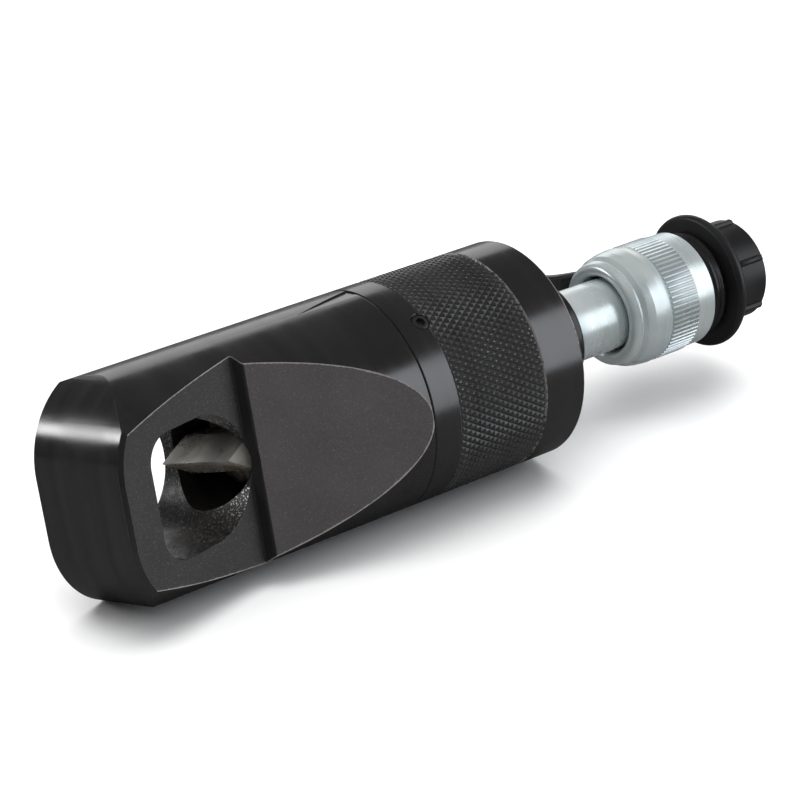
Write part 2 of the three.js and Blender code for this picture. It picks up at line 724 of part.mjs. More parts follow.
// ---------------------------------------------------------------- strap
// Centre line of the tether on the far side of the coupler, from the neck ring
// to the cap loop.
function strapPath() {
  const stations = [
    [STRAP_RING_X + STRAP_RING_W / 2, NECK_R + 4.12, 36],
    [COLLAR_FRONT_X - 11.6, COLLAR_R + 3.09, 14],
    [COLLAR_FRONT_X + 0.4, COLLAR_R + 4.92, 1],
    [COLLAR_KNURL_X, COLLAR_R + 5.23, -5],
    [COLLAR_END_X - 5.5, COLLAR_R + 3.46, -8],
    [LOOP_X + LOOP_W / 2, CAP_HUB_R + 2.81, -8],
  ];
  return new THREE.CatmullRomCurve3(stations.map(([x, r, degrees]) => {
    const angle = THREE.MathUtils.degToRad(degrees);
    return new THREE.Vector3(x, r * Math.cos(angle), r * Math.sin(angle));
  }));
}

function strapBand() {
  const half = STRAP_W / 2;
  const thin = STRAP_T / 2;
  const section = new THREE.Shape();
  section.moveTo(-half, -thin);
  section.lineTo(half, -thin);
  section.lineTo(half, thin);
  section.lineTo(-half, thin);
  return section;
}

// Sweeps the flat section along the path, its wide side facing the coupler.
function sweptStrap(path, steps) {
  const section = strapBand().getPoints();
  const positions = [];
  const triangles = [];
  const point = new THREE.Vector3();
  const tangent = new THREE.Vector3();
  const count = section.length;
  for (let i = 0; i <= steps; i += 1) {
    path.getPoint(i / steps, point);
    path.getTangent(i / steps, tangent);
    const outward = new THREE.Vector3(0, point.y, point.z).normalize();
    const wide = new THREE.Vector3().crossVectors(outward, tangent).normalize();
    const thick = new THREE.Vector3().crossVectors(tangent, wide).normalize();
    for (const { x, y } of section) {
      const corner = point.clone().addScaledVector(wide, x).addScaledVector(thick, y);
      positions.push(corner.x, corner.y, corner.z);
    }
  }
  for (let i = 0; i < steps; i += 1) {
    for (let j = 0; j < count; j += 1) {
      const a = i * count + j;
      const b = i * count + ((j + 1) % count);
      triangles.push(a, b, a + count, b, b + count, a + count);
    }
  }
  const last = steps * count;
  for (let j = 1; j < count - 1; j += 1) {
    triangles.push(0, j + 1, j, last, last + j, last + j + 1);
  }
  const geometry = new THREE.BufferGeometry();
  geometry.setAttribute('position', new THREE.Float32BufferAttribute(positions, 3));
  geometry.setIndex(triangles);
  return closed(geometry);
}

// Ring on the neck and the band that leaves it, stopped short of the cap loop.
function dustStrap() {
  const x1 = STRAP_RING_X + STRAP_RING_W;
  const neckRing = toSolid(ring(STRAP_RING_X, x1, NECK_R + RUN, STRAP_RING_R, MEDIUM));
  const bore = toSolid(rod(STRAP_RING_X - 5, x1 + 5, NECK_R + RUN, MEDIUM));
  const capSide = toSolid(box(LOOP_X - GAP, KNOB_END_X, -40, 40, -40, 40));
  const collarRoom = toSolid(rod(COLLAR_FRONT_X - COLLAR_BACK - 1, COLLAR_END_X + 1, COLLAR_R + RUN, FINE));
  const band = toSolid(sweptStrap(strapPath(), 20)).subtract(capSide).subtract(collarRoom);
  return toGeometry(neckRing.add(band.subtract(bore)));
}

function strapLoop() {
  return ring(LOOP_X, LOOP_X + LOOP_W, CAP_HUB_R + RUN, LOOP_R, MEDIUM);
}

// ---------------------------------------------------------------- assembly
function piece(name, geometry, finishName) {
  const mesh = new THREE.Mesh(geometry, finish(finishName));
  mesh.name = name;
  return mesh;
}

// Pieces cut in the head's own frame, rolled as the tool lies.
const jaw = new THREE.Group();
jaw.rotation.x = -ROLL;
jaw.add(
  piece('head', headGeometry(), 'blackOxide'),
  piece('chisel', chiselGeometry(), 'groundSteel'),
  piece('chisel_lock_screw', chiselScrew(), 'springSteel'),
  piece('ram', ramGeometry(), 'groundSteel'),
);

const tool = new THREE.Group();
tool.add(
  jaw,
  piece('head_o_ring', headORing(), 'sealRubber'),
  piece('rod_guide_bush', guideBush(), 'bronze'),
  piece('rod_wiper', rodWiper(), 'sealRubber'),
  piece('barrel', barrelGeometry(), 'blackOxide'),
  piece('head_lock_screw', headLockScrew(), 'springSteel'),
  piece('piston_seal', pistonRing(SEAL_GROOVE, SEAL_GAP), 'sealPolyurethane'),
  piece('piston_wear_ring', pistonRing(WEAR_GROOVE, SEAL_GAP), 'wearPolymer'),
  piece('spring_seat', springSeat(), 'springSteel'),
  piece('return_spring', returnSpring(), 'springSteel'),
  piece('port_washer', portWasher(), 'zinc'),
  piece('coupler_body', couplerBody(), 'zinc'),
  piece('coupler_collar', collarGeometry(), 'zinc'),
  piece('collar_snap_ring', snapRing(), 'springSteel'),
  piece('valve_guide', valveGuide(), 'zinc'),
  piece('valve_poppet', valvePoppet(), 'groundSteel'),
  piece('valve_o_ring', valveORing(), 'sealRubber'),
  piece('valve_spring', valveSpring(), 'springSteel'),
  piece('dust_cap', dustCap(), 'blackPlastic'),
  piece('cap_o_ring', capORing(), 'sealRubber'),
  piece('dust_strap', dustStrap(), 'blackRubber'),
  piece('strap_loop', strapLoop(), 'blackRubber'),
);

// The row's origin is the middle of the tool's length, on the ground.
const frontX = onFace(FACE_LENGTH, JAW_T).x;
tool.position.x = -(frontX + KNOB_END_X) / 2;
tool.position.z = BODY_R * Math.cos(Math.PI / FINE);

const part = new THREE.Group();
part.add(tool);

export default part;
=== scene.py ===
"""Looks of a hydraulic nut splitter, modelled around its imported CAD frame.

Metres in the row frame. Sizes below are in millimetres in the tool's own frame:
x = 0 is the seam between head and barrel, the head points to -X and the quick
coupler to +X. The jaw frame is the tool frame before the tool is rolled.
"""

import logging
import math
from collections.abc import Callable, Sequence
from dataclasses import dataclass, field
from enum import Enum

import bmesh
import bpy
from mathutils import Matrix, Vector

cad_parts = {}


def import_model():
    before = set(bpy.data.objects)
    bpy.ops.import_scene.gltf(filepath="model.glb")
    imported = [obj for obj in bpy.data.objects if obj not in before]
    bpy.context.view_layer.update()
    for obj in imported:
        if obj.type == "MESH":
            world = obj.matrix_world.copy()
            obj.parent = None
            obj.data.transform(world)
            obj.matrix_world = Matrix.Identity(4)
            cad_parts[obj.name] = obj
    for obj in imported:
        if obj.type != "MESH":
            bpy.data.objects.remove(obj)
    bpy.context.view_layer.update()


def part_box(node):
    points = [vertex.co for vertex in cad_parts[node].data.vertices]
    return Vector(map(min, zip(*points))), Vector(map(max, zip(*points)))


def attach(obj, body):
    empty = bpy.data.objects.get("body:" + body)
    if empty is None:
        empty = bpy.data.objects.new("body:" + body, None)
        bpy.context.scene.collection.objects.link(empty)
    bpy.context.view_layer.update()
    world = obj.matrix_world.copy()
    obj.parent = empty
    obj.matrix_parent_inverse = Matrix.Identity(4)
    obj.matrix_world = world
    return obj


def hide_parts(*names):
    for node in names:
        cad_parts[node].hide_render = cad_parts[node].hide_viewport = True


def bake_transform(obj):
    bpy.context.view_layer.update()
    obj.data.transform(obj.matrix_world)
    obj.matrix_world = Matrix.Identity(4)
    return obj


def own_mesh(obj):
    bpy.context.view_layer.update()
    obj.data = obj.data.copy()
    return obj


LOG = logging.getLogger("nut_splitter")
MM = 0.001
FULL_TURN = 2 * math.pi

Profile = Sequence[tuple[float, float]]
FaceTest = Callable[[Vector, Vector], bool]


class Body(Enum):
    """The moving bodies that pieces ride on."""

    TOOL = "body"
    RAM = "ram"
    SNAP_RING = "snap_ring"
    COLLAR = "collar"
    POPPET = "poppet"
    CAP_LOOP = "cap_loop"
    CAP = "cap"


class Slot(Enum):
    """The record's material slots."""

    OXIDE = "black_oxide"
    STEEL = "tool_steel"
    SPRING = "spring_steel"
    RUBBER = "seal_rubber"
    POLYURETHANE = "seal_polyurethane"
    POLYMER = "wear_polymer"
    BRONZE = "bronze"
    ZINC = "zinc"
    CAP = "cap_plastic"
    STRAP = "strap_rubber"


class Cut(Enum):
    """What a cutter does to a piece."""

    REMOVE = "DIFFERENCE"
    KEEP = "INTERSECT"
    JOIN = "UNION"


class HeadFace(Enum):
    """The head's faces by finish, as places in its material list."""

    ROUND = 0
    END = 1
    OPEN = 2
    RELIEF = 3
    WINDOW = 4
    BORE = 5
    EDGE = 6
    STEP = 7


class BarrelFace(Enum):
    """The barrel's faces by finish, as places in its material list."""

    PLAIN = 0
    TIP = 1
    EDGE = 2
    BORE = 3
    FLANK = 4


# ---------------------------------------------------------------- tool frame
@dataclass(frozen=True)
class ToolFrame:
    """Where the tool lies in the row frame, and the jaw's own directions."""

    seam_x: float
    axis_z: float
    roll: float = math.radians(14.5)
    slant: float = math.radians(15.0)
    face_rear_x: float = -48.8
    face_depth: float = 13.0

    def at(self, x: float, y: float = 0.0, z: float = 0.0) -> Vector:
        """A point of the tool frame, in the row frame."""
        return Vector((self.seam_x + x * MM, y * MM, self.axis_z + z * MM))

    def rolled(self, direction: Vector) -> Vector:
        """A direction of the jaw frame, in the row frame."""
        return Matrix.Rotation(-self.roll, 3, "X") @ direction

    def jaw(self, x: float, y: float = 0.0, z: float = 0.0) -> Vector:
        """A point of the jaw frame, in the row frame."""
        return self.at(*self.rolled(Vector((x, y, z))))

    @property
    def forward(self) -> Vector:
        """Along the open face to the front end."""
        return self.rolled(Vector((-math.cos(self.slant), -math.sin(self.slant), 0)))

    @property
    def inward(self) -> Vector:
        """From the open face to the flange face."""
        return self.rolled(Vector((-math.sin(self.slant), math.cos(self.slant), 0)))

    @property
    def across(self) -> Vector:
        """Across the open face, upward."""
        return self.rolled(Vector((0, 0, 1)))

    def on_face(self, along: float, depth: float, across: float = 0.0) -> Vector:
        """A point given on the open face, in the row frame.

        Args:
            along: distance forward from the face's rear edge.
            depth: distance below the face.
            across: distance from the middle plane.

        Returns:
            The point in metres.
        """
        start = self.jaw(self.face_rear_x, -self.face_depth)
        steps = self.forward * along + self.inward * depth + self.across * across
        return start + steps * MM

    def radius(self, point: Vector) -> float:
        """Distance of a point from the tool axis, in millimetres."""
        return math.hypot(point.y, point.z - self.axis_z) / MM


# ---------------------------------------------------------------- hand work
def filleted(corners: Sequence[tuple[float, float, float]], steps: int = 4) -> list[tuple[float, float]]:
    """Rounds the corners of a profile.

    Args:
        corners: (x, r, fillet radius) of each corner in order.
        steps: straight pieces in each rounding.

    Returns:
        The profile's points, with each rounded corner turned into an arc.
    """
    points: list[tuple[float, float]] = []
    last = len(corners) - 1
    for i, (x, r, radius) in enumerate(corners):
        if radius <= 0 or i in (0, last):
            points.append((x, r))
            continue
        here = Vector((x, r))
        back = (Vector(corners[i - 1][:2]) - here).normalized()
        ahead = (Vector(corners[i + 1][:2]) - here).normalized()
        half = back.angle(ahead) / 2
        centre = here + (back + ahead).normalized() * (radius / math.sin(half))
        start = here + back * (radius / math.tan(half)) - centre
        end = here + ahead * (radius / math.tan(half)) - centre
        for k in range(steps + 1):
            arm = start.lerp(end, k / steps).normalized() * radius
            points.append((centre.x + arm.x, centre.y + arm.y))
    return points


class Bench:
    """The hand operations that every piece is made with."""

    @staticmethod
    def clear() -> None:
        """Leaves edit mode and deselects everything."""
        if bpy.context.mode != "OBJECT":
            bpy.ops.object.mode_set(mode="OBJECT")
        bpy.ops.object.select_all(action="DESELECT")

    @staticmethod
    def take(piece: bpy.types.Object) -> None:
        """Selects one piece alone and makes it active."""
        Bench.clear()
        piece.hide_set(False)
        piece.select_set(True)
        bpy.context.view_layer.objects.active = piece

    @staticmethod
    def fresh(name: str) -> bpy.types.Object:
        """Names the primitive that was just added."""
        piece = bpy.context.object
        piece.name = name
        piece.data.name = name
        return piece

    @staticmethod
    def pick(piece: bpy.types.Object, test: FaceTest) -> int:
        """Selects the faces that pass a test, in edit mode.

        Args:
            piece: the piece, in edit mode.
            test: takes a face's middle and normal in the row frame.

        Returns:
            How many faces are selected.
        """
        bpy.ops.mesh.select_mode(type="FACE")
        bpy.ops.mesh.select_all(action="DESELECT")
        mesh = bmesh.from_edit_mesh(piece.data)
        world = piece.matrix_world
        turn = world.to_3x3()
        count = 0
        for face in mesh.faces:
            if test(world @ face.calc_center_median(), (turn @ face.normal).normalized()):
                face.select_set(True)
                count += 1
        bmesh.update_edit_mesh(piece.data)
        return count

    @staticmethod
    def trace(name: str, points: Sequence[Vector], closed: bool) -> bpy.types.Object:
        """Draws a line of edges by extruding one point, and stays in edit mode.

        Args:
            name: the new piece's name.
            points: the line's points in the row frame.
            closed: whether the line is closed and filled.

        Returns:
            The piece, in edit mode with everything selected.
        """
        Bench.clear()
        bpy.ops.mesh.primitive_plane_add(size=MM, location=points[0])
        piece = Bench.fresh(name)
        bpy.ops.object.mode_set(mode="EDIT")
        bpy.ops.mesh.select_mode(type="VERT")
        bpy.ops.mesh.select_all(action="SELECT")
        bpy.ops.mesh.merge(type="CENTER")
        for here, there in zip(points, points[1:]):
            bpy.ops.mesh.extrude_vertices_move(TRANSFORM_OT_translate={"value": there - here})
        bpy.ops.mesh.select_all(action="SELECT")
        if closed:
            bpy.ops.mesh.edge_face_add()
        return piece

    @staticmethod
    def prism(name: str, points: Sequence[Vector], sweep: Vector) -> bpy.types.Object:
        """Extrudes a closed outline along a straight line.

        Args:
            name: the new piece's name.
            points: the outline.
            sweep: how far and which way it is extruded.

        Returns:
            The closed solid.
        """
        piece = Bench.trace(name, points, closed=True)
        bpy.ops.mesh.extrude_region_move(TRANSFORM_OT_translate={"value": sweep})
        Bench.outward()
        return piece

    @staticmethod
    def turned(name: str, tool: ToolFrame, profile: Profile, steps: int = 96) -> bpy.types.Object:
        """Spins a profile about the tool axis.

        Args:
            name: the new piece's name.
            tool: the tool frame.
            profile: (x, radius) points; it ends on the axis or where it starts.
            steps: facets round the axis.

        Returns:
            The closed solid.
        """
        piece = Bench.trace(name, [tool.at(x, 0, r) for x, r in profile], closed=False)
        bpy.ops.mesh.spin(steps=steps, angle=FULL_TURN, center=tool.at(0), axis=(1, 0, 0))
        Bench.outward()
        return piece

    @staticmethod
    def outward() -> None:
        """Merges doubles, points the faces outward, and leaves edit mode."""
        bpy.ops.mesh.select_all(action="SELECT")
        bpy.ops.mesh.remove_doubles(threshold=1e-6)
        bpy.ops.mesh.normals_make_consistent(inside=False)
        bpy.ops.object.mode_set(mode="OBJECT")

    @staticmethod
    def modifier(piece: bpy.types.Object, kind: str, **settings: object) -> None:
        """Adds a modifier with its settings and applies it."""
        Bench.take(piece)
        added = piece.modifiers.new(kind.lower(), kind)
        for key, value in settings.items():
            setattr(added, key, value)
        bpy.ops.object.modifier_apply(modifier=added.name)

    @staticmethod
    def carve(piece: bpy.types.Object, cutter: bpy.types.Object, cut: Cut) -> None:
        """Cuts a piece with a cutter, and throws the cutter away."""
        Bench.modifier(piece, "BOOLEAN", object=cutter, operation=cut.value, solver="EXACT")
        bpy.data.objects.remove(cutter)

    @staticmethod
    def bevel(piece: bpy.types.Object, width: float, angle: float = 28.0, segments: int = 2,
              material: int = -1) -> None:
        """Rounds the sharp edges of a whole piece.

        Args:
            piece: the piece.
            width: width of the rounding in millimetres.
            angle: edges sharper than this many degrees are rounded.
            segments: faces across the rounding.
            material: index of the roundings' own material, or -1.
        """
        Bench.modifier(piece, "BEVEL", width=width * MM, limit_method="ANGLE", segments=segments,
                       angle_limit=math.radians(angle), material=material, use_clamp_overlap=True)

    @staticmethod
    def smooth(piece: bpy.types.Object, angle: float = 32.0) -> None:
        """Shades a piece smooth up to an angle, and applies its place."""
        Bench.take(piece)
        bpy.ops.object.transform_apply(location=True, rotation=True, scale=True)
        bpy.ops.object.shade_smooth_by_angle(angle=math.radians(angle))

    @staticmethod
    def weigh(piece: bpy.types.Object) -> None:
        """Lets the large faces decide the shading beside small roundings."""
        Bench.modifier(piece, "WEIGHTED_NORMAL", mode="FACE_AREA", weight=80, keep_sharp=True)

    @staticmethod
    def dress(piece: bpy.types.Object, *materials: bpy.types.Material) -> None:
        """Gives a piece its materials, in slot order."""
        for _ in range(len(piece.data.materials), len(materials)):
            piece.data.materials.append(None)
        for i, material in enumerate(materials):
            piece.data.materials[i] = material


def place(piece: bpy.types.Object, body: Body, slot: Slot, *nodes: str) -> None:
    """Puts a finished piece on its body, in place of CAD nodes."""
    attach(piece, body.value)
    if nodes:
        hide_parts(*nodes)
    LOG.info("%s rides on %s: %d faces", piece.name, body.value, len(piece.data.polygons))


def ring_profile(stations: tuple[float, float], radii: tuple[float, float], roundings: tuple[float, float],
                 steps: int = 4) -> Profile:
    """Draws the section of a plain ring, closed on itself.

    Args:
        stations: where its front and rear walls are.
        radii: its inner and outer radius.
        roundings: fillet radii of its inner and outer corners.
        steps: straight pieces in each rounding.

    Returns:
        The section's points.
    """
    (front, rear), (inner, outer), (inside, outside) = stations, radii, roundings
    start = (front, (inner + outer) / 2, 0)
    corners = [start, (front, outer, outside), (rear, outer, outside), (rear, inner, inside),
               (front, inner, inside), start]
    return filleted(corners, steps)


@dataclass(frozen=True)
class Lathe:
    """Turns plain round pieces, and finishes and places them."""

    tool: ToolFrame

    def make(self, name: str, profile: Profile, material: bpy.types.Material, body: Body, slot: Slot,
             node: str, steps: int = 96) -> bpy.types.Object:
        """Turns one piece in place of its CAD node.

        Args:
            name: the new piece's name.
            profile: its (x, radius) section.
            material: its finish.
            body: the body that it rides on.
            slot: its material slot in the record; not used.
            node: the CAD node that it replaces.
            steps: facets round the axis.

        Returns:
            The finished piece.
        """
        piece = Bench.turned(name, self.tool, profile, steps)
        Bench.smooth(piece)
        Bench.dress(piece, material)
        place(piece, body, slot, node)
        return piece


# ---------------------------------------------------------------- shader graphs
Socket = bpy.types.NodeSocket


class Graph:
    """Short ways to add nodes to a material or a node group."""

    def __init__(self, tree: bpy.types.NodeTree) -> None:
        """Keeps the tree that nodes are added to."""
        self.tree = tree

    def node(self, kind: str, **settings: object) -> bpy.types.Node:
        """Adds a node and sets its properties."""
        added = self.tree.nodes.new("ShaderNode" + kind)
        for key, value in settings.items():
            setattr(added, key, value)
        return added

    def put(self, target: Socket, value: object) -> None:
        """Links a socket, or sets a constant.

        Args:
            target: the input socket.
            value: a socket, a number or a tuple.
        """
        if isinstance(value, bpy.types.NodeSocket):
            self.tree.links.new(value, target)
        elif target.type == "RGBA":
            target.default_value = (*value[:3], 1.0)
        else:
            target.default_value = value

    def math(self, operation: str, a: object, b: object = 0.0, clamp: bool = False) -> Socket:
        """A Math node's result."""
        added = self.node("Math", operation=operation, use_clamp=clamp)
        self.put(added.inputs[0], a)
        self.put(added.inputs[1], b)
        return added.outputs[0]

    def vector(self, operation: str, a: object, b: object = (0, 0, 0)) -> Socket:
        """A Vector Math node's result, a value for DOT_PRODUCT and LENGTH."""
        added = self.node("VectorMath", operation=operation)
        self.put(added.inputs[0], a)
        self.put(added.inputs[1], b)
        return added.outputs["Value" if operation in ("DOT_PRODUCT", "LENGTH", "DISTANCE") else 0]

    def mix(self, factor: object, a: object, b: object) -> Socket:
        """A mix of two colours."""
        added = self.node("Mix", data_type="RGBA")
        self.put(added.inputs[0], factor)
        self.put(added.inputs[6], a)
        self.put(added.inputs[7], b)
        return added.outputs[2]

    def span(self, value: object, low: float, high: float, to_low: object = 0.0,
             to_high: object = 1.0) -> Socket:
        """Maps a range of a value smoothly onto another range.

        Args:
            value: what is mapped.
            low: start of the range.
            high: end of the range.
            to_low: result at the start.
            to_high: result at the end.

        Returns:
            The mapped value.
        """
        added = self.node("MapRange", interpolation_type="SMOOTHSTEP", clamp=True)
        for socket, number in zip(added.inputs, (value, low, high, to_low, to_high)):
            self.put(socket, number)
        return added.outputs[0]

    def noise(self, vector: Socket, scale: object, detail: float = 3.0, roughness: float = 0.55) -> Socket:
        """A noise texture's value.

        Args:
            vector: where it is read.
            scale: how fine it is.
            detail: octaves.
            roughness: weight of the fine octaves.

        Returns:
            The noise, about 0.5.
        """
        added = self.node("TexNoise")
        self.put(added.inputs["Vector"], vector)
        self.put(added.inputs["Scale"], scale)
        added.inputs["Detail"].default_value = detail
        added.inputs["Roughness"].default_value = roughness
        return added.outputs[0]

    def cells(self, vector: Socket, scale: object) -> Socket:
        """Distance to the nearest point of a Voronoi texture."""
        added = self.node("TexVoronoi")
        self.put(added.inputs["Vector"], vector)
        self.put(added.inputs["Scale"], scale)
        return added.outputs[0]

    def place(self) -> Socket:
        """The piece's own coordinates in metres."""
        return self.node("TexCoord").outputs["Object"]

    def group(self, tree: bpy.types.NodeTree, **values: object) -> bpy.types.Node:
        """Places a shared node group with its values."""
        added = self.node("Group")
        added.node_tree = tree
        for name, value in values.items():
            self.put(added.inputs[name], value)
        return added


class Effects:
    """Shared effects as node groups: streaks, grain, smudges and broken wear lines."""

    def __init__(self) -> None:
        """Builds every group once."""
        self.streaks = self._build("machining_streaks", ("Vector", "Fineness"), ("Height", "Tone"),
                                   self._streaks)
        self.grain = self._build("surface_grain", ("Vector", "Scale", "Sparkle"), ("Height", "Flecks"),
                                 self._grain)
        self.smudges = self._build("handling_smudges", ("Vector", "Scale"), ("Mask",), self._smudges)
        self.wear = self._build("broken_wear_line", ("Vector", "Distance", "Width"), ("Mask",), self._wear)

    @staticmethod
    def _build(name: str, inputs: Sequence[str], outputs: Sequence[str],
               fill: Callable[[Graph, dict[str, Socket]], dict[str, Socket]]) -> bpy.types.NodeTree:
        """Makes a group with named sockets, and fills it.

        Args:
            name: the group's name.
            inputs: input names; Vector is a vector, the others are values.
            outputs: output names, all values.
            fill: adds the nodes, from the inputs to the outputs.

        Returns:
            The node tree.
        """
        tree = bpy.data.node_groups.new(name, "ShaderNodeTree")
        for label in inputs:
            kind = "NodeSocketVector" if label == "Vector" else "NodeSocketFloat"
            tree.interface.new_socket(name=label, in_out="INPUT", socket_type=kind)
        for label in outputs:
            tree.interface.new_socket(name=label, in_out="OUTPUT", socket_type="NodeSocketFloat")
        source = tree.nodes.new("NodeGroupInput")
        sink = tree.nodes.new("NodeGroupOutput")
        made = fill(Graph(tree), {label: source.outputs[label] for label in inputs})
        for label in outputs:
            tree.links.new(made[label], sink.inputs[label])
        return tree

    @staticmethod
    def _streaks(graph: Graph, given: dict[str, Socket]) -> dict[str, Socket]:
        """Fine parallel tool marks, across the first coordinate.

        Args:
            graph: the group's nodes.
            given: its inputs by name.

        Returns:
            Its outputs by name.
        """
        fine = graph.noise(given["Vector"], given["Fineness"], detail=2.0, roughness=0.7)
        broad = graph.noise(given["Vector"], graph.math("MULTIPLY", given["Fineness"], 0.17), detail=3.0)
        both = graph.math("ADD", graph.math("MULTIPLY", fine, 0.6), graph.math("MULTIPLY", broad, 0.4))
        return {"Height": both, "Tone": graph.span(broad, 0.35, 0.65)}

    @staticmethod
    def _grain(graph: Graph, given: dict[str, Socket]) -> dict[str, Socket]:
        """Blasted or etched grain, with a few bright flecks.

        Args:
            graph: the group's nodes.
            given: its inputs by name.

        Returns:
            Its outputs by name.
        """
        coarse = graph.noise(given["Vector"], given["Scale"], detail=4.0, roughness=0.65)
        pits = graph.cells(given["Vector"], graph.math("MULTIPLY", given["Scale"], 0.9))
        height = graph.math("ADD", coarse, graph.math("MULTIPLY", pits, 0.35))
        fleck = graph.noise(given["Vector"], graph.math("MULTIPLY", given["Scale"], 2.3), detail=1.0)
        edge = graph.math("SUBTRACT", 0.78, graph.math("MULTIPLY", given["Sparkle"], 0.3))
        over = graph.math("MULTIPLY", graph.math("SUBTRACT", fleck, edge), 18.0, clamp=True)
        return {"Height": height, "Flecks": over}

    @staticmethod
    def _smudges(graph: Graph, given: dict[str, Socket]) -> dict[str, Socket]:
        """Broad uneven oil and handling marks."""
        wide = graph.noise(given["Vector"], given["Scale"], detail=3.0, roughness=0.5)
        return {"Mask": graph.span(wide, 0.25, 0.75)}

    @staticmethod
    def _wear(graph: Graph, given: dict[str, Socket]) -> dict[str, Socket]:
        """A line of wear along an edge, broken up by noise.

        Args:
            graph: the group's nodes.
            given: its inputs by name.

        Returns:
            Its outputs by name.
        """
        rough = graph.noise(given["Vector"], 900.0, detail=3.0, roughness=0.7)
        slow = graph.noise(given["Vector"], 90.0, detail=2.0)
        broken = graph.math("ADD", graph.math("MULTIPLY", rough, 1.6), graph.math("SUBTRACT", slow, 0.45))
        reach = graph.math("MULTIPLY", given["Width"], broken)
        near = graph.math("SUBTRACT", reach, graph.math("ABSOLUTE", given["Distance"]))
        return {"Mask": graph.math("MULTIPLY", near, graph.math("DIVIDE", 3.0, given["Width"]), clamp=True)}


# ---------------------------------------------------------------- finishes
Colour = tuple[float, float, float]


class Finish:
    """A procedural finish: subclasses say what drives the shader's sockets."""

    effects: Effects
    tool: ToolFrame

    def paint(self, graph: Graph, shader: bpy.types.Node) -> None:
        """Adds the finish's own nodes."""
        raise NotImplementedError

    def make(self, name: str) -> bpy.types.Material:
        """Builds the material.

        Args:
            name: the material's name.

        Returns:
            The material.
        """
        material = bpy.data.materials.new(name)
        material.use_nodes = True
        shader = material.node_tree.nodes["Principled BSDF"]
        graph = Graph(material.node_tree)
        self.paint(graph, shader)
        return material

    def bump(self, graph: Graph, shader: bpy.types.Node, height: Socket, strength: float,
             depth: float) -> None:
        """Feeds a height in millimetres of relief into the shader's normal."""
        added = graph.node("Bump")
        added.inputs["Strength"].default_value = strength
        added.inputs["Distance"].default_value = depth * MM
        graph.put(added.inputs["Height"], height)
        graph.put(shader.inputs["Normal"], added.outputs[0])

    def about_axis(self, graph: Graph) -> Socket:
        """The piece's coordinates, measured from the tool axis at the seam."""
        return graph.vector("SUBTRACT", graph.place(), tuple(self.tool.at(0)))

    def radial(self, graph: Graph, centred: Socket) -> Socket:
        """Distance from the tool axis, in metres."""
        return graph.vector("LENGTH", graph.vector("MULTIPLY", centred, (0, 1, 1)))


@dataclass(frozen=True)
class TurnedMetal(Finish):
    """A turned surface with fine rings, two tones and oil marks."""

    dark: Colour
    light: Colour
    tint: Colour
    metallic: float = 0.0
    roughness: tuple[float, float] = (0.2, 0.34)
    ior: float = 1.5
    ring_scale: float = 900.0
    relief: float = 0.004

    def paint(self, graph: Graph, shader: bpy.types.Node) -> None:
        """Rings about the axis, tone by smudges.

        Args:
            graph: the material's nodes.
            shader: its Principled shader.
        """
        centred = self.about_axis(graph)
        rings = graph.group(self.effects.streaks, Vector=graph.vector("MULTIPLY", centred, (1, 0.03, 0.03)),
                            Fineness=self.ring_scale)
        marks = graph.group(self.effects.smudges, Vector=centred, Scale=38.0)
        spots = graph.group(self.effects.smudges, Vector=centred, Scale=210.0)
        tone = graph.math("ADD", graph.math("MULTIPLY", rings.outputs["Tone"], 0.5),
                          graph.math("MULTIPLY", marks.outputs["Mask"], 0.5))
        base = graph.mix(tone, self.dark, self.light)
        spotted = graph.math("MULTIPLY", spots.outputs["Mask"], 0.3)
        graph.put(shader.inputs["Base Color"], graph.mix(spotted, base, self.tint))
        rough = graph.math("ADD", graph.math("MULTIPLY", marks.outputs["Mask"], 0.6),
                           graph.math("MULTIPLY", rings.outputs["Tone"], 0.4))
        graph.put(shader.inputs["Roughness"], graph.span(rough, 0.0, 1.0, *self.roughness))
        shader.inputs["Metallic"].default_value = self.metallic
        shader.inputs["IOR"].default_value = self.ior
        self.bump(graph, shader, rings.outputs["Height"], 0.6, self.relief)


@dataclass(frozen=True)
class MilledEnd(Finish):
    """The head's front end, with cutter marks that run round its corners."""

    dark: Colour = (0.0035, 0.0035, 0.004)
    light: Colour = (0.009, 0.009, 0.0095)
    relief: float = 0.008

    def paint(self, graph: Graph, shader: bpy.types.Node) -> None:
        """Marks across the thickness of the jaw.

        Args:
            graph: the material's nodes.
            shader: its Principled shader.
        """
        centred = self.about_axis(graph)
        depth = graph.vector("DOT_PRODUCT", centred, tuple(self.tool.inward))
        side = graph.vector("DOT_PRODUCT", centred, tuple(self.tool.across))
        run = graph.node("CombineXYZ")
        graph.put(run.inputs[0], depth)
        graph.put(run.inputs[1], graph.math("MULTIPLY", side, 0.05))
        marks = graph.group(self.effects.streaks, Vector=run.outputs[0], Fineness=1500.0)
        smudge = graph.group(self.effects.smudges, Vector=centred, Scale=60.0)
        graph.put(shader.inputs["Base Color"], graph.mix(marks.outputs["Tone"], self.dark, self.light))
        graph.put(shader.inputs["Roughness"], graph.span(smudge.outputs["Mask"], 0.0, 1.0, 0.14, 0.22))
        shader.inputs["IOR"].default_value = 1.85
        self.bump(graph, shader, marks.outputs["Height"], 0.7, self.relief)


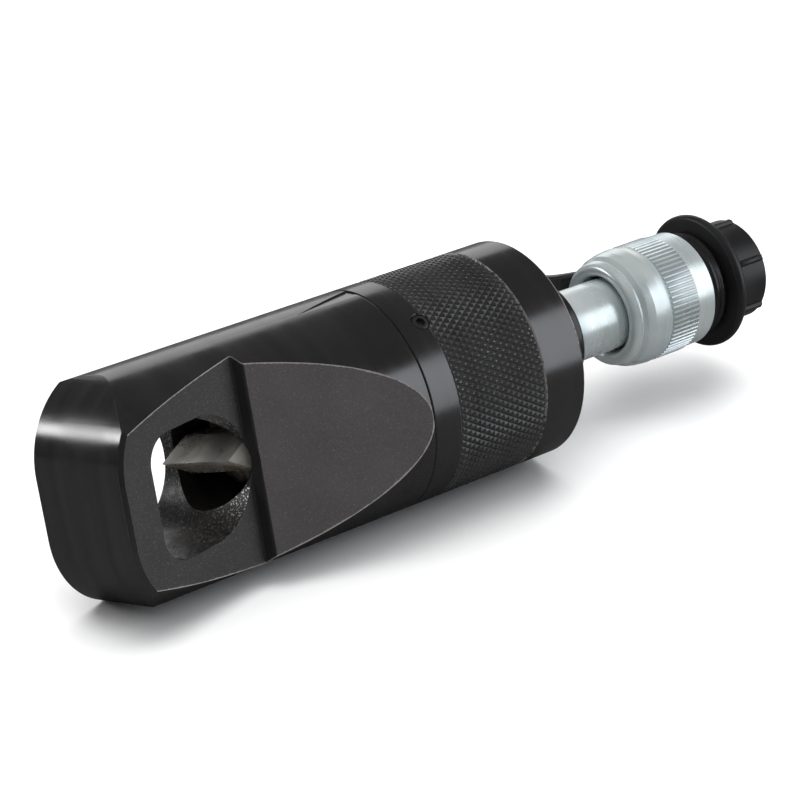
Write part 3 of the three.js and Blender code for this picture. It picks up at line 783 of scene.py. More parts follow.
@dataclass(frozen=True)
class BlastedFace(Finish):
    """Matte blackened flats with a fine warm grain and worn edges."""

    dark: Colour = (0.015, 0.0138, 0.0138)
    light: Colour = (0.040, 0.0365, 0.037)
    worn: Colour = (0.34, 0.32, 0.31)
    fleck: Colour = (0.16, 0.145, 0.14)
    edge_radius: float = 32.0
    edge_width: float = 0.38

    def paint(self, graph: Graph, shader: bpy.types.Node) -> None:
        """Grain, flecks, and a broken bright line where the flat meets the round.

        Args:
            graph: the material's nodes.
            shader: its Principled shader.
        """
        centred = self.about_axis(graph)
        grain = graph.group(self.effects.grain, Vector=centred, Scale=1400.0, Sparkle=0.45)
        smudge = graph.group(self.effects.smudges, Vector=centred, Scale=45.0)
        tone = graph.math("ADD", graph.math("MULTIPLY", smudge.outputs["Mask"], 0.25),
                          graph.math("MULTIPLY", grain.outputs["Height"], 0.6))
        base = graph.mix(tone, self.dark, self.light)
        base = graph.mix(graph.math("MULTIPLY", grain.outputs["Flecks"], 0.6), base, self.fleck)
        flat = graph.vector("MULTIPLY", centred, (0, 1, 1))
        normal = graph.node("NewGeometry").outputs["True Normal"]
        facing = graph.vector("DOT_PRODUCT", graph.vector("NORMALIZE", flat), normal)
        slope = graph.math("SQRT", graph.math("SUBTRACT", 1.0001, graph.math("MULTIPLY", facing, facing)))
        below = graph.math("SUBTRACT", self.edge_radius * MM, self.radial(graph, centred))
        gap = graph.math("DIVIDE", below, slope)
        line = graph.group(self.effects.wear, Vector=centred, Distance=gap, Width=self.edge_width * MM)
        graph.put(shader.inputs["Base Color"], graph.mix(line.outputs["Mask"], base, self.worn))
        graph.put(shader.inputs["Roughness"], graph.span(tone, 0.0, 1.0, 0.5, 0.68))
        graph.put(shader.inputs["Metallic"], graph.math("MULTIPLY", line.outputs["Mask"], 0.5))
        shader.inputs["IOR"].default_value = 1.5
        self.bump(graph, shader, grain.outputs["Height"], 0.5, 0.03)


@dataclass(frozen=True)
class WornEdge(Finish):
    """A thin rounded edge where the black finish is rubbed through."""

    dark: Colour = (0.02, 0.019, 0.019)
    bare: Colour = (0.42, 0.39, 0.37)
    cover: float = 0.55

    def paint(self, graph: Graph, shader: bpy.types.Node) -> None:
        """Bare metal, broken by the finish that is left.

        Args:
            graph: the material's nodes.
            shader: its Principled shader.
        """
        centred = self.about_axis(graph)
        fine = graph.noise(centred, 1100.0, detail=3.0, roughness=0.7)
        slow = graph.noise(centred, 70.0, detail=2.0)
        both = graph.math("ADD", graph.math("MULTIPLY", fine, 0.55), graph.math("MULTIPLY", slow, 0.45))
        mask = graph.span(both, 0.6 - 0.3 * self.cover, 0.72 - 0.3 * self.cover)
        graph.put(shader.inputs["Base Color"], graph.mix(mask, self.dark, self.bare))
        graph.put(shader.inputs["Metallic"], graph.math("MULTIPLY", mask, 0.75))
        graph.put(shader.inputs["Roughness"], graph.span(fine, 0.3, 0.7, 0.28, 0.5))


@dataclass(frozen=True)
class RoughWall(Finish):
    """Walls of the nut window: scaled, oily and glinting near the bore."""

    dark: Colour = (0.006, 0.006, 0.0065)
    brown: Colour = (0.034, 0.028, 0.022)
    silver: Colour = (0.6, 0.6, 0.6)
    glint_x: float = -51.0
    glint_reach: float = 8.0

    def paint(self, graph: Graph, shader: bpy.types.Node) -> None:
        """Scale, rust tone and silver glints that fade forward.

        Args:
            graph: the material's nodes.
            shader: its Principled shader.
        """
        centred = self.about_axis(graph)
        grain = graph.group(self.effects.grain, Vector=centred, Scale=820.0, Sparkle=0.62)
        smudge = graph.group(self.effects.smudges, Vector=centred, Scale=110.0)
        split = graph.node("SeparateXYZ")
        graph.put(split.inputs[0], centred)
        near = graph.span(split.outputs[0], (self.glint_x - self.glint_reach) * MM, self.glint_x * MM)
        fade = graph.math("ADD", graph.math("MULTIPLY", near, 0.85), 0.15)
        shine = graph.math("MULTIPLY", grain.outputs["Flecks"], fade)
        base = graph.mix(graph.math("MULTIPLY", smudge.outputs["Mask"], 0.5), self.dark, self.brown)
        graph.put(shader.inputs["Base Color"], graph.mix(shine, base, self.silver))
        graph.put(shader.inputs["Metallic"], shine)
        graph.put(shader.inputs["Roughness"], graph.span(smudge.outputs["Mask"], 0.0, 1.0, 0.3, 0.5))
        self.bump(graph, shader, grain.outputs["Height"], 0.8, 0.12)


@dataclass(frozen=True)
class GroundBlade(Finish):
    """The chisel's ground and heat-stained steel, browner under its edge and at its rim."""

    steel: Colour = (0.44, 0.43, 0.40)
    pale: Colour = (0.74, 0.71, 0.66)
    stain: Colour = (0.20, 0.11, 0.045)

    def paint(self, graph: Graph, shader: bpy.types.Node) -> None:
        """Grinding lines, brown stains near the edge and at the sides.

        Args:
            graph: the material's nodes.
            shader: its Principled shader.
        """
        centred = self.about_axis(graph)
        lines = graph.group(self.effects.streaks, Vector=graph.vector("MULTIPLY", centred, (0.1, 1, 0.4)),
                            Fineness=1300.0)
        cloud = graph.noise(centred, 170.0, detail=5.0, roughness=0.65)
        lower = graph.vector("DOT_PRODUCT", centred, tuple(self.tool.across))
        under = graph.span(lower, -2.6 * MM, 0.1 * MM, 1.0, 0.0)
        rim = graph.span(self.radial(graph, centred), 11.6 * MM, 13.4 * MM)
        where = graph.math("MAXIMUM", graph.math("MULTIPLY", under, 0.8), graph.math("MULTIPLY", rim, 0.7))
        mask = graph.math("MULTIPLY", where, graph.span(cloud, 0.40, 0.60))
        base = graph.mix(graph.math("MULTIPLY", lines.outputs["Tone"], 0.6), self.steel, self.pale)
        graph.put(shader.inputs["Base Color"], graph.mix(mask, base, self.stain))
        graph.put(shader.inputs["Roughness"], graph.span(cloud, 0.3, 0.7, 0.24, 0.4))
        graph.put(shader.inputs["Metallic"], graph.span(mask, 0.0, 1.0, 0.6, 0.3))
        self.bump(graph, shader, lines.outputs["Height"], 0.5, 0.008)


@dataclass(frozen=True)
class ZincPlate(Finish):
    """Bright passivated zinc with a faint rainbow and drawn streaks, and painted shade in the knurl's grooves
    when a groove band is given.
    """

    blue: Colour = (0.53, 0.62, 0.65)
    straw: Colour = (0.63, 0.64, 0.57)
    white: Colour = (0.74, 0.80, 0.82)
    painted_groove_shade: Colour = (0.20, 0.24, 0.26)
    ring_scale: float = 700.0
    groove: tuple[float, float] = (0.0, 0.0)
    groove_from: float = 0.0

    def paint(self, graph: Graph, shader: bpy.types.Node) -> None:
        """Three tones in slow bands, with rings about the axis, and painted shade darkening the knurl's
        grooves.

        Args:
            graph: the material's nodes.
            shader: its Principled shader.
        """
        centred = self.about_axis(graph)
        rings = graph.group(self.effects.streaks, Vector=graph.vector("MULTIPLY", centred, (1, 0.06, 0.06)),
                            Fineness=self.ring_scale)
        band = graph.group(self.effects.smudges, Vector=graph.vector("MULTIPLY", centred, (1.6, 1, 1)),
                           Scale=70.0)
        film = graph.group(self.effects.smudges, Vector=graph.vector("ADD", centred, (0.31, 0.17, 0.23)),
                           Scale=42.0)
        base = graph.mix(band.outputs["Mask"], self.blue, self.white)
        base = graph.mix(graph.math("MULTIPLY", film.outputs["Mask"], 0.35), base, self.straw)
        # Painted shade: the knurl's grooves are darkened in the colour, standing in for the shade between the
        # ribs.
        if self.groove_from:
            base = graph.mix(graph.math("MULTIPLY", self._groove_shade_mask(graph, centred), 0.5), base, self.painted_groove_shade)
        graph.put(shader.inputs["Base Color"], base)
        graph.put(shader.inputs["Roughness"], graph.span(rings.outputs["Tone"], 0.0, 1.0, 0.24, 0.34))
        shader.inputs["Metallic"].default_value = 0.66
        self.bump(graph, shader, rings.outputs["Height"], 0.15, 0.0005)

    def _groove_shade_mask(self, graph: Graph, centred: Socket) -> Socket:
        """Where painted shade darkens the knurl's grooves, within its stations.

        Args:
            graph: the material's nodes.
            centred: coordinates from the tool axis.

        Returns:
            A mask of the painted groove shade, 1 in the grooves.
        """
        split = graph.node("SeparateXYZ")
        graph.put(split.inputs[0], centred)
        start, end = self.groove
        ahead = graph.math("GREATER_THAN", split.outputs[0], start * MM)
        behind = graph.math("LESS_THAN", split.outputs[0], end * MM)
        top = self.groove_from + 0.3
        low = graph.span(self.radial(graph, centred), self.groove_from * MM, top * MM, 1.0, 0.0)
        return graph.math("MULTIPLY", graph.math("MULTIPLY", ahead, behind), low)


@dataclass(frozen=True)
class Moulded(Finish):
    """Moulded rubber or plastic with a fine grain and dusty patches."""

    base: Colour
    dust: Colour
    roughness: tuple[float, float] = (0.4, 0.55)
    grain_scale: float = 1800.0
    relief: float = 0.02
    dusting: float = 0.3

    def paint(self, graph: Graph, shader: bpy.types.Node) -> None:
        """Grain and dust.

        Args:
            graph: the material's nodes.
            shader: its Principled shader.
        """
        centred = self.about_axis(graph)
        grain = graph.group(self.effects.grain, Vector=centred, Scale=self.grain_scale, Sparkle=0.0)
        cloud = graph.group(self.effects.smudges, Vector=centred, Scale=65.0)
        dusty = graph.math("MULTIPLY", cloud.outputs["Mask"], grain.outputs["Height"])
        cover = graph.math("MULTIPLY", dusty, self.dusting)
        graph.put(shader.inputs["Base Color"], graph.mix(cover, self.base, self.dust))
        graph.put(shader.inputs["Roughness"], graph.span(cloud.outputs["Mask"], 0.0, 1.0, *self.roughness))
        self.bump(graph, shader, grain.outputs["Height"], 0.4, self.relief)


class Finishes:
    """Every material of the tool, built once."""

    def __init__(self, tool: ToolFrame) -> None:
        """Builds the shared effects, then each finish."""
        Finish.effects = Effects()
        Finish.tool = tool
        self._steels()
        self._flats()
        self._soft()
        self.zinc = ZincPlate().make("zinc_plate")
        # The collar's zinc carries painted shade in its knurl's grooves.
        self.collar_zinc = ZincPlate(ring_scale=500.0, groove=(101.0, 111.6),
                                     groove_from=17.38).make("zinc_collar")

    def _steels(self) -> None:
        """Oiled, turned, ground and wound metal."""
        self.oxide = TurnedMetal((0.004, 0.004, 0.0045), (0.009, 0.0085, 0.009), (0.012, 0.009, 0.008),
                                 ior=1.85, roughness=(0.15, 0.24), relief=0.001).make("oxide_turned")
        self.bore = TurnedMetal((0.006, 0.006, 0.006), (0.02, 0.02, 0.02), (0.03, 0.02, 0.015), 0.4,
                                roughness=(0.35, 0.5)).make("bore_wall")
        self.knurl = TurnedMetal((0.010, 0.010, 0.010), (0.020, 0.020, 0.020), (0.016, 0.014, 0.013),
                                 ior=1.8, roughness=(0.24, 0.38), relief=0.006).make("oxide_knurl")
        self.blade = GroundBlade().make("chisel_steel")
        self.rod = TurnedMetal((0.42, 0.42, 0.42), (0.58, 0.57, 0.55), (0.5, 0.46, 0.4), 1.0,
                               roughness=(0.14, 0.26), relief=0.003).make("ground_rod")
        self.spring = TurnedMetal((0.10, 0.10, 0.105), (0.2, 0.2, 0.2), (0.12, 0.09, 0.07), 0.9,
                                  roughness=(0.28, 0.45)).make("coil_steel")
        self.screw = TurnedMetal((0.012, 0.012, 0.012), (0.05, 0.05, 0.05), (0.03, 0.025, 0.02), 0.6,
                                 roughness=(0.25, 0.4)).make("screw_steel")
        self.bronze = TurnedMetal((0.48, 0.29, 0.11), (0.62, 0.40, 0.17), (0.3, 0.2, 0.1), 1.0,
                                  roughness=(0.26, 0.4)).make("bush_bronze")

    def _flats(self) -> None:
        """The head's milled and blasted faces, its window and its worn edges; a lighter copy of the blasted
        finish is painted light on the relief, and a darker one is painted shade on the step.
        """
        self.milled = MilledEnd().make("oxide_milled")
        self.flat = BlastedFace().make("oxide_blasted")
        # Painted light: the relief face gets a lighter copy of the blasted finish, standing in for the light
        # that it catches.
        self.relief = BlastedFace(dark=(0.034, 0.031, 0.0315), light=(0.074, 0.068, 0.0685),
                                  edge_width=0.5).make("oxide_blasted_relief_painted_light")
        # Painted shade: a darker copy of the blasted finish for the step's wall and fillet, where shade falls
        # in the crease.
        self.step = BlastedFace(dark=(0.006, 0.0056, 0.0056), light=(0.016, 0.015, 0.015),
                                fleck=(0.03, 0.03, 0.03), edge_width=0.3).make("oxide_blasted_step_painted_shade")
        self.wall = RoughWall().make("window_wall")
        self.edge = WornEdge().make("worn_edge")
        self.tips = WornEdge(dark=(0.035, 0.035, 0.036), bare=(0.2, 0.2, 0.2),
                             cover=0.4).make("worn_knurl_tips")

    def _soft(self) -> None:
        """Rubber and plastics."""
        self.cap = Moulded((0.0045, 0.0045, 0.005), (0.03, 0.03, 0.032), (0.34, 0.46)).make("knob_plastic")
        self.strap = Moulded((0.006, 0.006, 0.006), (0.03, 0.03, 0.03), (0.22, 0.36),
                             dusting=0.15).make("tether_rubber")
        self.rubber = Moulded((0.010, 0.010, 0.010), (0.04, 0.04, 0.04), (0.45, 0.6)).make("o_ring_rubber")
        self.polyurethane = Moulded((0.035, 0.10, 0.26), (0.1, 0.18, 0.32),
                                    (0.3, 0.45)).make("cup_polyurethane")
        self.polymer = Moulded((0.19, 0.10, 0.05), (0.28, 0.18, 0.1), (0.5, 0.65),
                               grain_scale=900.0).make("guide_polymer")


# ---------------------------------------------------------------- head
@dataclass
class Head:
    """The windowed head: a turned blank with slanted flats, step and relief."""

    tool: ToolFrame
    finishes: Finishes
    radius: float = 32.0
    jaw_thickness: float = 31.3
    face_length: float = 47.0
    corner_radius: float = 24.0
    front_chamfer: float = 1.1
    step_height: float = 3.8
    step_fillet: float = 1.0
    window_width: float = 35.0
    window_length: float = 36.3
    window_rear: float = -0.5
    window_corner: float = 8.0
    bore_radius: float = 13.5
    bore_front: float = -66.0
    seam_gap: float = 0.15
    spigot_radius: float = 28.7
    spigot_rear: float = 12.0
    spigot_bore: float = 26.3
    seal_groove: tuple[float, float, float] = (0.8, 3.2, 27.0)
    spring_room: tuple[float, float, float] = (-20.0, 3.4, 20.6)
    bush_pocket: tuple[float, float] = (-31.0, 16.0)
    wiper_groove: tuple[float, float, float] = (-40.0, -36.4, 15.6)
    blank_front: float = -130.0
    edge: float = 0.28

    def blank(self) -> bpy.types.Object:
        """Turns the blank with every bore, still without its flats.

        Returns:
            The blank.
        """
        bore, spigot = self.bore_radius, self.spigot_radius
        seal_front, seal_rear, seal = self.seal_groove
        room_front, room_rear, room = self.spring_room
        pocket_front, pocket = self.bush_pocket
        wiper_front, wiper_rear, wiper = self.wiper_groove
        corners = [
            (self.blank_front, 0, 0), (self.blank_front, self.radius, 0), (-self.seam_gap, self.radius, 0.25),
            (-self.seam_gap, spigot, 0), (seal_front, spigot, 0), (seal_front, seal, 0), (seal_rear, seal, 0),
            (seal_rear, spigot, 0), (self.spigot_rear, spigot, 0.4), (self.spigot_rear, self.spigot_bore, 0),
            (room_rear, self.spigot_bore, 0), (room_rear, room, 0.3), (room_front, room, 0.3),
            (room_front, pocket, 0.3), (pocket_front, pocket, 0), (pocket_front, bore, 0.3),
            (wiper_rear, bore, 0), (wiper_rear, wiper, 0), (wiper_front, wiper, 0), (wiper_front, bore, 0),
            (self.bore_front, bore, 0), (self.bore_front, 0, 0),
        ]
        return Bench.turned("head_shell", self.tool, filleted(corners, 3), steps=192)

    def outline(self) -> bpy.types.Object:
        """The jaw's outline as a solid, chamfered where it meets the open face.

        Returns:
            The outline, long enough to pass through the blank.
        """
        half = self.radius + 0.6
        corner = self.corner_radius
        rim: list[tuple[float, float]] = [(-110.0, -half)]
        for side in (-1, 1):
            centre = (self.face_length - corner, side * (half - corner))
            turn = [math.radians(3.75 * k) for k in range(25)]
            arc = [(centre[0] + corner * math.sin(a), centre[1] + side * corner * math.cos(a)) for a in turn]
            rim += arc if side < 0 else arc[::-1]
        rim.append((-110.0, half))
        points = [self.tool.on_face(a, 80, c) for a, c in rim]
        piece = Bench.trace("jaw_outline", points, closed=True)
        to_chamfer = self.tool.inward * ((self.front_chamfer - 80) * MM)
        bpy.ops.mesh.extrude_region_move(TRANSFORM_OT_translate={"value": to_chamfer})
        bpy.ops.mesh.extrude_region_move(
            TRANSFORM_OT_translate={"value": self.tool.inward * (-self.front_chamfer * MM)})
        shrink = (self.face_length - self.front_chamfer) / self.face_length
        self._scale_selected(self.tool.on_face(0, 0), shrink, (half - self.front_chamfer) / half)
        bpy.ops.mesh.extrude_region_move(TRANSFORM_OT_translate={"value": self.tool.inward * (-70 * MM)})
        Bench.outward()
        return piece

    def _scale_selected(self, centre: Vector, along: float, across: float) -> None:
        """Scales the selected rim in the plane of the open face."""
        basis = Matrix((self.tool.forward, self.tool.across, self.tool.inward)).transposed()
        bpy.ops.transform.resize(value=(along, across, 1), orient_type="GLOBAL", orient_matrix=basis,
                                 orient_matrix_type="GLOBAL", center_override=centre)

    def front_cutter(self) -> bpy.types.Object:
        """Everything outside the open face, the step's wall and the relief.

        Returns:
            The cutter.
        """
        slant = self.tool.slant
        face_rear = Vector((self.tool.face_rear_x, -self.tool.face_depth))
        forward = Vector((-math.cos(slant), -math.sin(slant)))
        outward = Vector((math.sin(slant), -math.cos(slant)))
        wall_top = face_rear + outward * self.step_height
        to_seam = (Vector((0, -self.radius)) - wall_top).normalized()
        front = face_rear + forward * 110
        tail = wall_top + to_seam * 110
        fillet = self.step_fillet
        corners = [
            (front.x, front.y, 0), (face_rear.x, face_rear.y, fillet * 0.7), (wall_top.x, wall_top.y, fillet),
            (tail.x, tail.y, 0), (tail.x, -190, 0), (front.x, -190, 0),
        ]
        points = [self.tool.jaw(x, y, -70) for x, y in filleted(corners, 10)]
        return Bench.prism("front_cutter", points, self.tool.across * (140 * MM))

    def window_cutter(self) -> bpy.types.Object:
        """The nut window: half-round at the rear, rounded corners in front.

        Returns:
            The cutter.
        """
        half = self.window_width / 2
        front = self.window_rear + self.window_length
        r = self.window_corner
        rim: list[tuple[float, float]] = []
        for k in range(13):
            a = math.radians(7.5 * k)
            rim.append((front - r + r * math.sin(a), -half + r - r * math.cos(a)))
        for k in range(13):
            a = math.radians(7.5 * k)
            rim.append((front - r + r * math.cos(a), half - r + r * math.sin(a)))
        for k in range(49):
            a = math.radians(90 + 3.75 * k)
            rim.append((self.window_rear + half + half * math.cos(a), half * math.sin(a)))
        points = [self.tool.on_face(a, -40, c) for a, c in rim]
        return Bench.prism("window_cutter", points, self.tool.inward * (120 * MM))

    def rear_cutter(self) -> bpy.types.Object:
        """Everything behind the flange face."""
        rim = [(-120, -70), (90, -70), (90, 70), (-120, 70)]
        points = [self.tool.on_face(a, self.jaw_thickness, c) for a, c in rim]
        return Bench.prism("rear_cutter", points, self.tool.inward * (90 * MM))

    def relief_normal(self) -> Vector:
        """The way the relief between the step and the seam faces."""
        slant = self.tool.slant
        top = Vector((self.tool.face_rear_x + self.step_height * math.sin(slant),
                      -self.tool.face_depth - self.step_height * math.cos(slant), 0))
        along = (Vector((0, -self.radius, 0)) - top).normalized()
        return self.tool.rolled(Vector((along.y, -along.x, 0)))

    def in_window(self, point: Vector) -> bool:
        """Whether a point lies on the window's wall.

        Args:
            point: a point in the row frame.

        Returns:
            True inside the outline and below the round.
        """
        local = (point - self.tool.on_face(0, 0)) / MM
        along, across = local.dot(self.tool.forward), local.dot(self.tool.across)
        half = self.window_width / 2
        front = self.window_rear + self.window_length
        inside = abs(across) < half + 0.15 and self.window_rear - 0.3 < along < front + 0.15
        return inside and self.tool.radius(point) < self.radius - 0.2 and self.tool.seam_x - point.x > 0.04

    def kind(self, point: Vector, normal: Vector) -> HeadFace:
        """Tells which finish a face gets.

        Args:
            point: the face's middle in the row frame.
            normal: the way that it faces.

        Returns:
            The kind of face.
        """
        local = (point - self.tool.on_face(0, 0)) / MM
        along, depth = local.dot(self.tool.forward), local.dot(self.tool.inward)
        if abs(normal.dot(self.tool.inward)) > 0.995:
            return HeadFace.OPEN
        radius = self.tool.radius(point)
        if normal.dot(self.relief_normal()) > 0.9995:
            return HeadFace.RELIEF
        walled = self.in_window(point)
        by_step = abs(depth + self.step_height / 2) < self.step_height and abs(along) < 6
        if by_step and radius < self.radius - 0.05 and (not walled or along < 1.0):
            return HeadFace.STEP
        in_front = along > self.face_length - self.corner_radius - 1
        if in_front and radius < self.radius - 0.02 and not walled:
            return HeadFace.END
        if walled:
            return HeadFace.WINDOW
        if radius < self.radius - 1:
            return HeadFace.BORE
        return HeadFace.ROUND

    def build(self) -> bpy.types.Object:
        """Cuts the blank to shape and dresses it.

        Returns:
            The finished head.
        """
        head = self.blank()
        Bench.carve(head, self.outline(), Cut.KEEP)
        Bench.carve(head, self.rear_cutter(), Cut.REMOVE)
        Bench.carve(head, self.front_cutter(), Cut.REMOVE)
        Bench.carve(head, self.window_cutter(), Cut.REMOVE)
        done = self.finishes
        Bench.dress(head, done.oxide, done.milled, done.flat, done.relief, done.wall, done.bore, done.edge,
                    done.step)
        world = head.matrix_world
        turn = world.to_3x3()
        for face in head.data.polygons:
            face.material_index = self.kind(world @ face.center, (turn @ face.normal).normalized()).value
        Bench.take(head)
        bpy.ops.object.mode_set(mode="EDIT")
        bpy.ops.mesh.select_all(action="SELECT")
        bpy.ops.mesh.remove_doubles(threshold=0.02 * MM)
        bpy.ops.object.mode_set(mode="OBJECT")
        Bench.bevel(head, self.edge, angle=35.0, segments=1, material=HeadFace.EDGE.value)
        Bench.smooth(head, 11.0)
        Bench.weigh(head)
        place(head, Body.TOOL, Slot.OXIDE, "head")
        return head


# ---------------------------------------------------------------- barrel
@dataclass
class Barrel:
    """The barrel: two plain bands, a diamond-knurled grip and the closed end."""

    tool: ToolFrame
    finishes: Finishes
    radius: float = 32.0
    length: float = 53.9
    knurl_front: float = 9.3
    knurl_rear: float = 39.4
    around: int = 96
    rows: int = 9
    tooth_depth: float = 0.5
    tooth_side: float = 0.68
    half_tooth_side: float = 0.36
    runout: float = 0.45
    socket_radius: float = 29.0
    socket_rear: float = 12.3
    bore_radius: float = 26.0
    bore_rear: float = 43.9
    port_radius: float = 8.8
    screw_x: float = 7.9
    screw_angle: float = math.radians(28.0)
    screw_radius: float = 2.5
    screw_length: float = 3.1
    screw_top: float = 31.4
    screw_key: float = 2.5

    def grip(self) -> bpy.types.Object:
        """Cuts the diamond teeth out of a plain sleeve.

        Returns:
            The knurled sleeve, in edit mode and open at both ends.
        """
        root = self.radius - self.tooth_depth
        length = self.knurl_rear - self.knurl_front
        Bench.clear()
        bpy.ops.mesh.primitive_cylinder_add(
            vertices=self.around, radius=root * MM, depth=length * MM, end_fill_type="NOTHING",
            location=self.tool.at((self.knurl_front + self.knurl_rear) / 2), rotation=(0, math.pi / 2, 0))
        sleeve = Bench.fresh("barrel_shell")
        bpy.ops.object.transform_apply(location=True, rotation=True, scale=True)
        bpy.ops.object.mode_set(mode="EDIT")
        bpy.ops.mesh.select_mode(type="EDGE")
        bpy.ops.mesh.select_all(action="DESELECT")
        mesh = bmesh.from_edit_mesh(sleeve.data)
        for edge in mesh.edges:
            a, b = (v.co for v in edge.verts)
            edge.select_set(abs(a.x - b.x) > MM)
        bmesh.update_edit_mesh(sleeve.data)
        bpy.ops.mesh.subdivide(number_cuts=self.rows - 1)
        old = self._mark_grid(sleeve)
        bpy.ops.mesh.select_mode(type="FACE")
        bpy.ops.mesh.select_all(action="SELECT")
        bpy.ops.mesh.poke()
        self._select_edges(sleeve, old)
        bpy.ops.mesh.dissolve_edges(use_verts=False)
        bpy.ops.mesh.select_mode(type="FACE")
        whole = (4, self.tooth_side, self.tooth_depth)
        half = (3, self.half_tooth_side, self.tooth_depth * 0.55)
        for corners, side, depth in (whole, half):
            bpy.ops.mesh.select_all(action="DESELECT")
            bpy.ops.mesh.select_face_by_sides(number=corners)
            if corners == 3:
                self._drop_raised(sleeve, root)
            bpy.ops.mesh.inset(thickness=side * MM, depth=depth * MM, use_individual=True)
            sleeve.data.materials.append(None)
            self._assign(sleeve, BarrelFace.TIP)
        return sleeve

    @staticmethod
    def _mark_grid(sleeve: bpy.types.Object) -> set[tuple[int, int]]:
        """Notes the sleeve's inner edges by their ends."""
        mesh = bmesh.from_edit_mesh(sleeve.data)
        mesh.verts.index_update()
        return {tuple(sorted(v.index for v in e.verts)) for e in mesh.edges if len(e.link_faces) == 2}

    @staticmethod
    def _select_edges(sleeve: bpy.types.Object, wanted: set[tuple[int, int]]) -> None:
        """Selects edges by their ends.

        Args:
            sleeve: the piece, in edit mode.
            wanted: pairs of vertex numbers.
        """
        bpy.ops.mesh.select_mode(type="EDGE")
        bpy.ops.mesh.select_all(action="DESELECT")
        mesh = bmesh.from_edit_mesh(sleeve.data)
        mesh.verts.index_update()
        for edge in mesh.edges:
            edge.select_set(tuple(sorted(v.index for v in edge.verts)) in wanted)
        bmesh.update_edit_mesh(sleeve.data)

    def _drop_raised(self, sleeve: bpy.types.Object, root: float) -> None:
        """Leaves only faces at the root selected."""
        mesh = bmesh.from_edit_mesh(sleeve.data)
        for face in mesh.faces:
            if face.select and any(self.tool.radius(v.co) > root + 0.05 for v in face.verts):
                face.select_set(False)
        bmesh.update_edit_mesh(sleeve.data)

    @staticmethod
    def _assign(piece: bpy.types.Object, kind: BarrelFace) -> None:
        """Gives the selected faces a finish."""
        mesh = bmesh.from_edit_mesh(piece.data)
        for face in mesh.faces:
            if face.select:
                face.material_index = kind.value
        bmesh.update_edit_mesh(piece.data)

    def _extend(self, sleeve: bpy.types.Object, start: float, profile: Profile,
                kinds: Sequence[BarrelFace]) -> None:
        """Draws the open rim at one end out along a profile.

        Args:
            sleeve: the piece, in edit mode.
            start: station of the rim.
            profile: (x, radius) of each new ring.
            kinds: finish of the faces up to each ring.
        """
        bpy.ops.mesh.select_mode(type="EDGE")
        bpy.ops.mesh.select_all(action="DESELECT")
        mesh = bmesh.from_edit_mesh(sleeve.data)
        rim_x = self.tool.at(start).x
        for edge in mesh.edges:
            if edge.is_boundary and all(abs(v.co.x - rim_x) < 1e-5 for v in edge.verts):
                edge.select_set(True)
        bmesh.update_edit_mesh(sleeve.data)
        x, r = start, self.radius - self.tooth_depth
        for (new_x, new_r), kind in zip(profile, kinds):
            known = set(bmesh.from_edit_mesh(sleeve.data).faces)
            bpy.ops.mesh.extrude_region_move(TRANSFORM_OT_translate={"value": ((new_x - x) * MM, 0, 0)})
            if abs(new_r - r) > 1e-6:
                k = new_r / r
                bpy.ops.transform.resize(value=(1, k, k), center_override=self.tool.at(new_x))
            mesh = bmesh.from_edit_mesh(sleeve.data)
            for face in mesh.faces:
                if face not in known:
                    face.material_index = kind.value
            x, r = new_x, new_r

    def build(self) -> bpy.types.Object:
        """Makes the grip, draws the bands and the bore from it, and closes it.

        Returns:
            The finished barrel.
        """
        barrel = self.grip()
        top = self.radius
        end, bore, port = self.length, self.bore_radius, self.port_radius
        front = [(self.knurl_front - self.runout, top), (0.45, top), (0.15, top - 0.3),
                 (0.15, self.socket_radius), (self.socket_rear, self.socket_radius),
                 (self.socket_rear, bore), (self.bore_rear, bore), (self.bore_rear, port)]
        rear = [(self.knurl_rear + 0.35, top), (end - 0.8, top), (end - 0.6, top - 0.07),
                (end - 0.07, top - 0.6), (end, top - 0.8), (end, port + 0.5), (end - 0.5, port)]
        edge, plain, bore_wall = BarrelFace.EDGE, BarrelFace.PLAIN, BarrelFace.BORE
        self._extend(barrel, self.knurl_front, front, (edge, *[plain] * 3, *[bore_wall] * 4))
        self._extend(barrel, self.knurl_rear, rear, (edge, plain, edge, edge, edge, plain, plain))
        bpy.ops.mesh.select_all(action="DESELECT")
        mesh = bmesh.from_edit_mesh(barrel.data)
        for edge in mesh.edges:
            edge.select_set(edge.is_boundary)
        bmesh.update_edit_mesh(barrel.data)
        bpy.ops.mesh.bridge_edge_loops()
        Bench.outward()
        done = self.finishes
        self._recolour(barrel)
        Bench.dress(barrel, done.oxide, done.tips, done.edge, done.bore, done.knurl)
        Bench.carve(barrel, self._screw_hole(), Cut.REMOVE)
        Bench.smooth(barrel, 16.0)
        place(barrel, Body.TOOL, Slot.OXIDE, "barrel")
        return barrel

    def _recolour(self, barrel: bpy.types.Object) -> None:
        """Gives the flanks of the teeth the knurl's finish."""
        low, high = self.tool.at(self.knurl_front).x, self.tool.at(self.knurl_rear).x
        for face in barrel.data.polygons:
            on_grip = low < face.center.x < high and self.tool.radius(face.center) > self.socket_radius + 1
            if on_grip and face.material_index == BarrelFace.PLAIN.value:
                face.material_index = BarrelFace.FLANK.value

    def _screw_direction(self) -> Vector:
        """The way the lock screw points, out of the barrel."""
        angle = math.pi / 2 + self.screw_angle
        return Vector((0, math.cos(angle), math.sin(angle)))

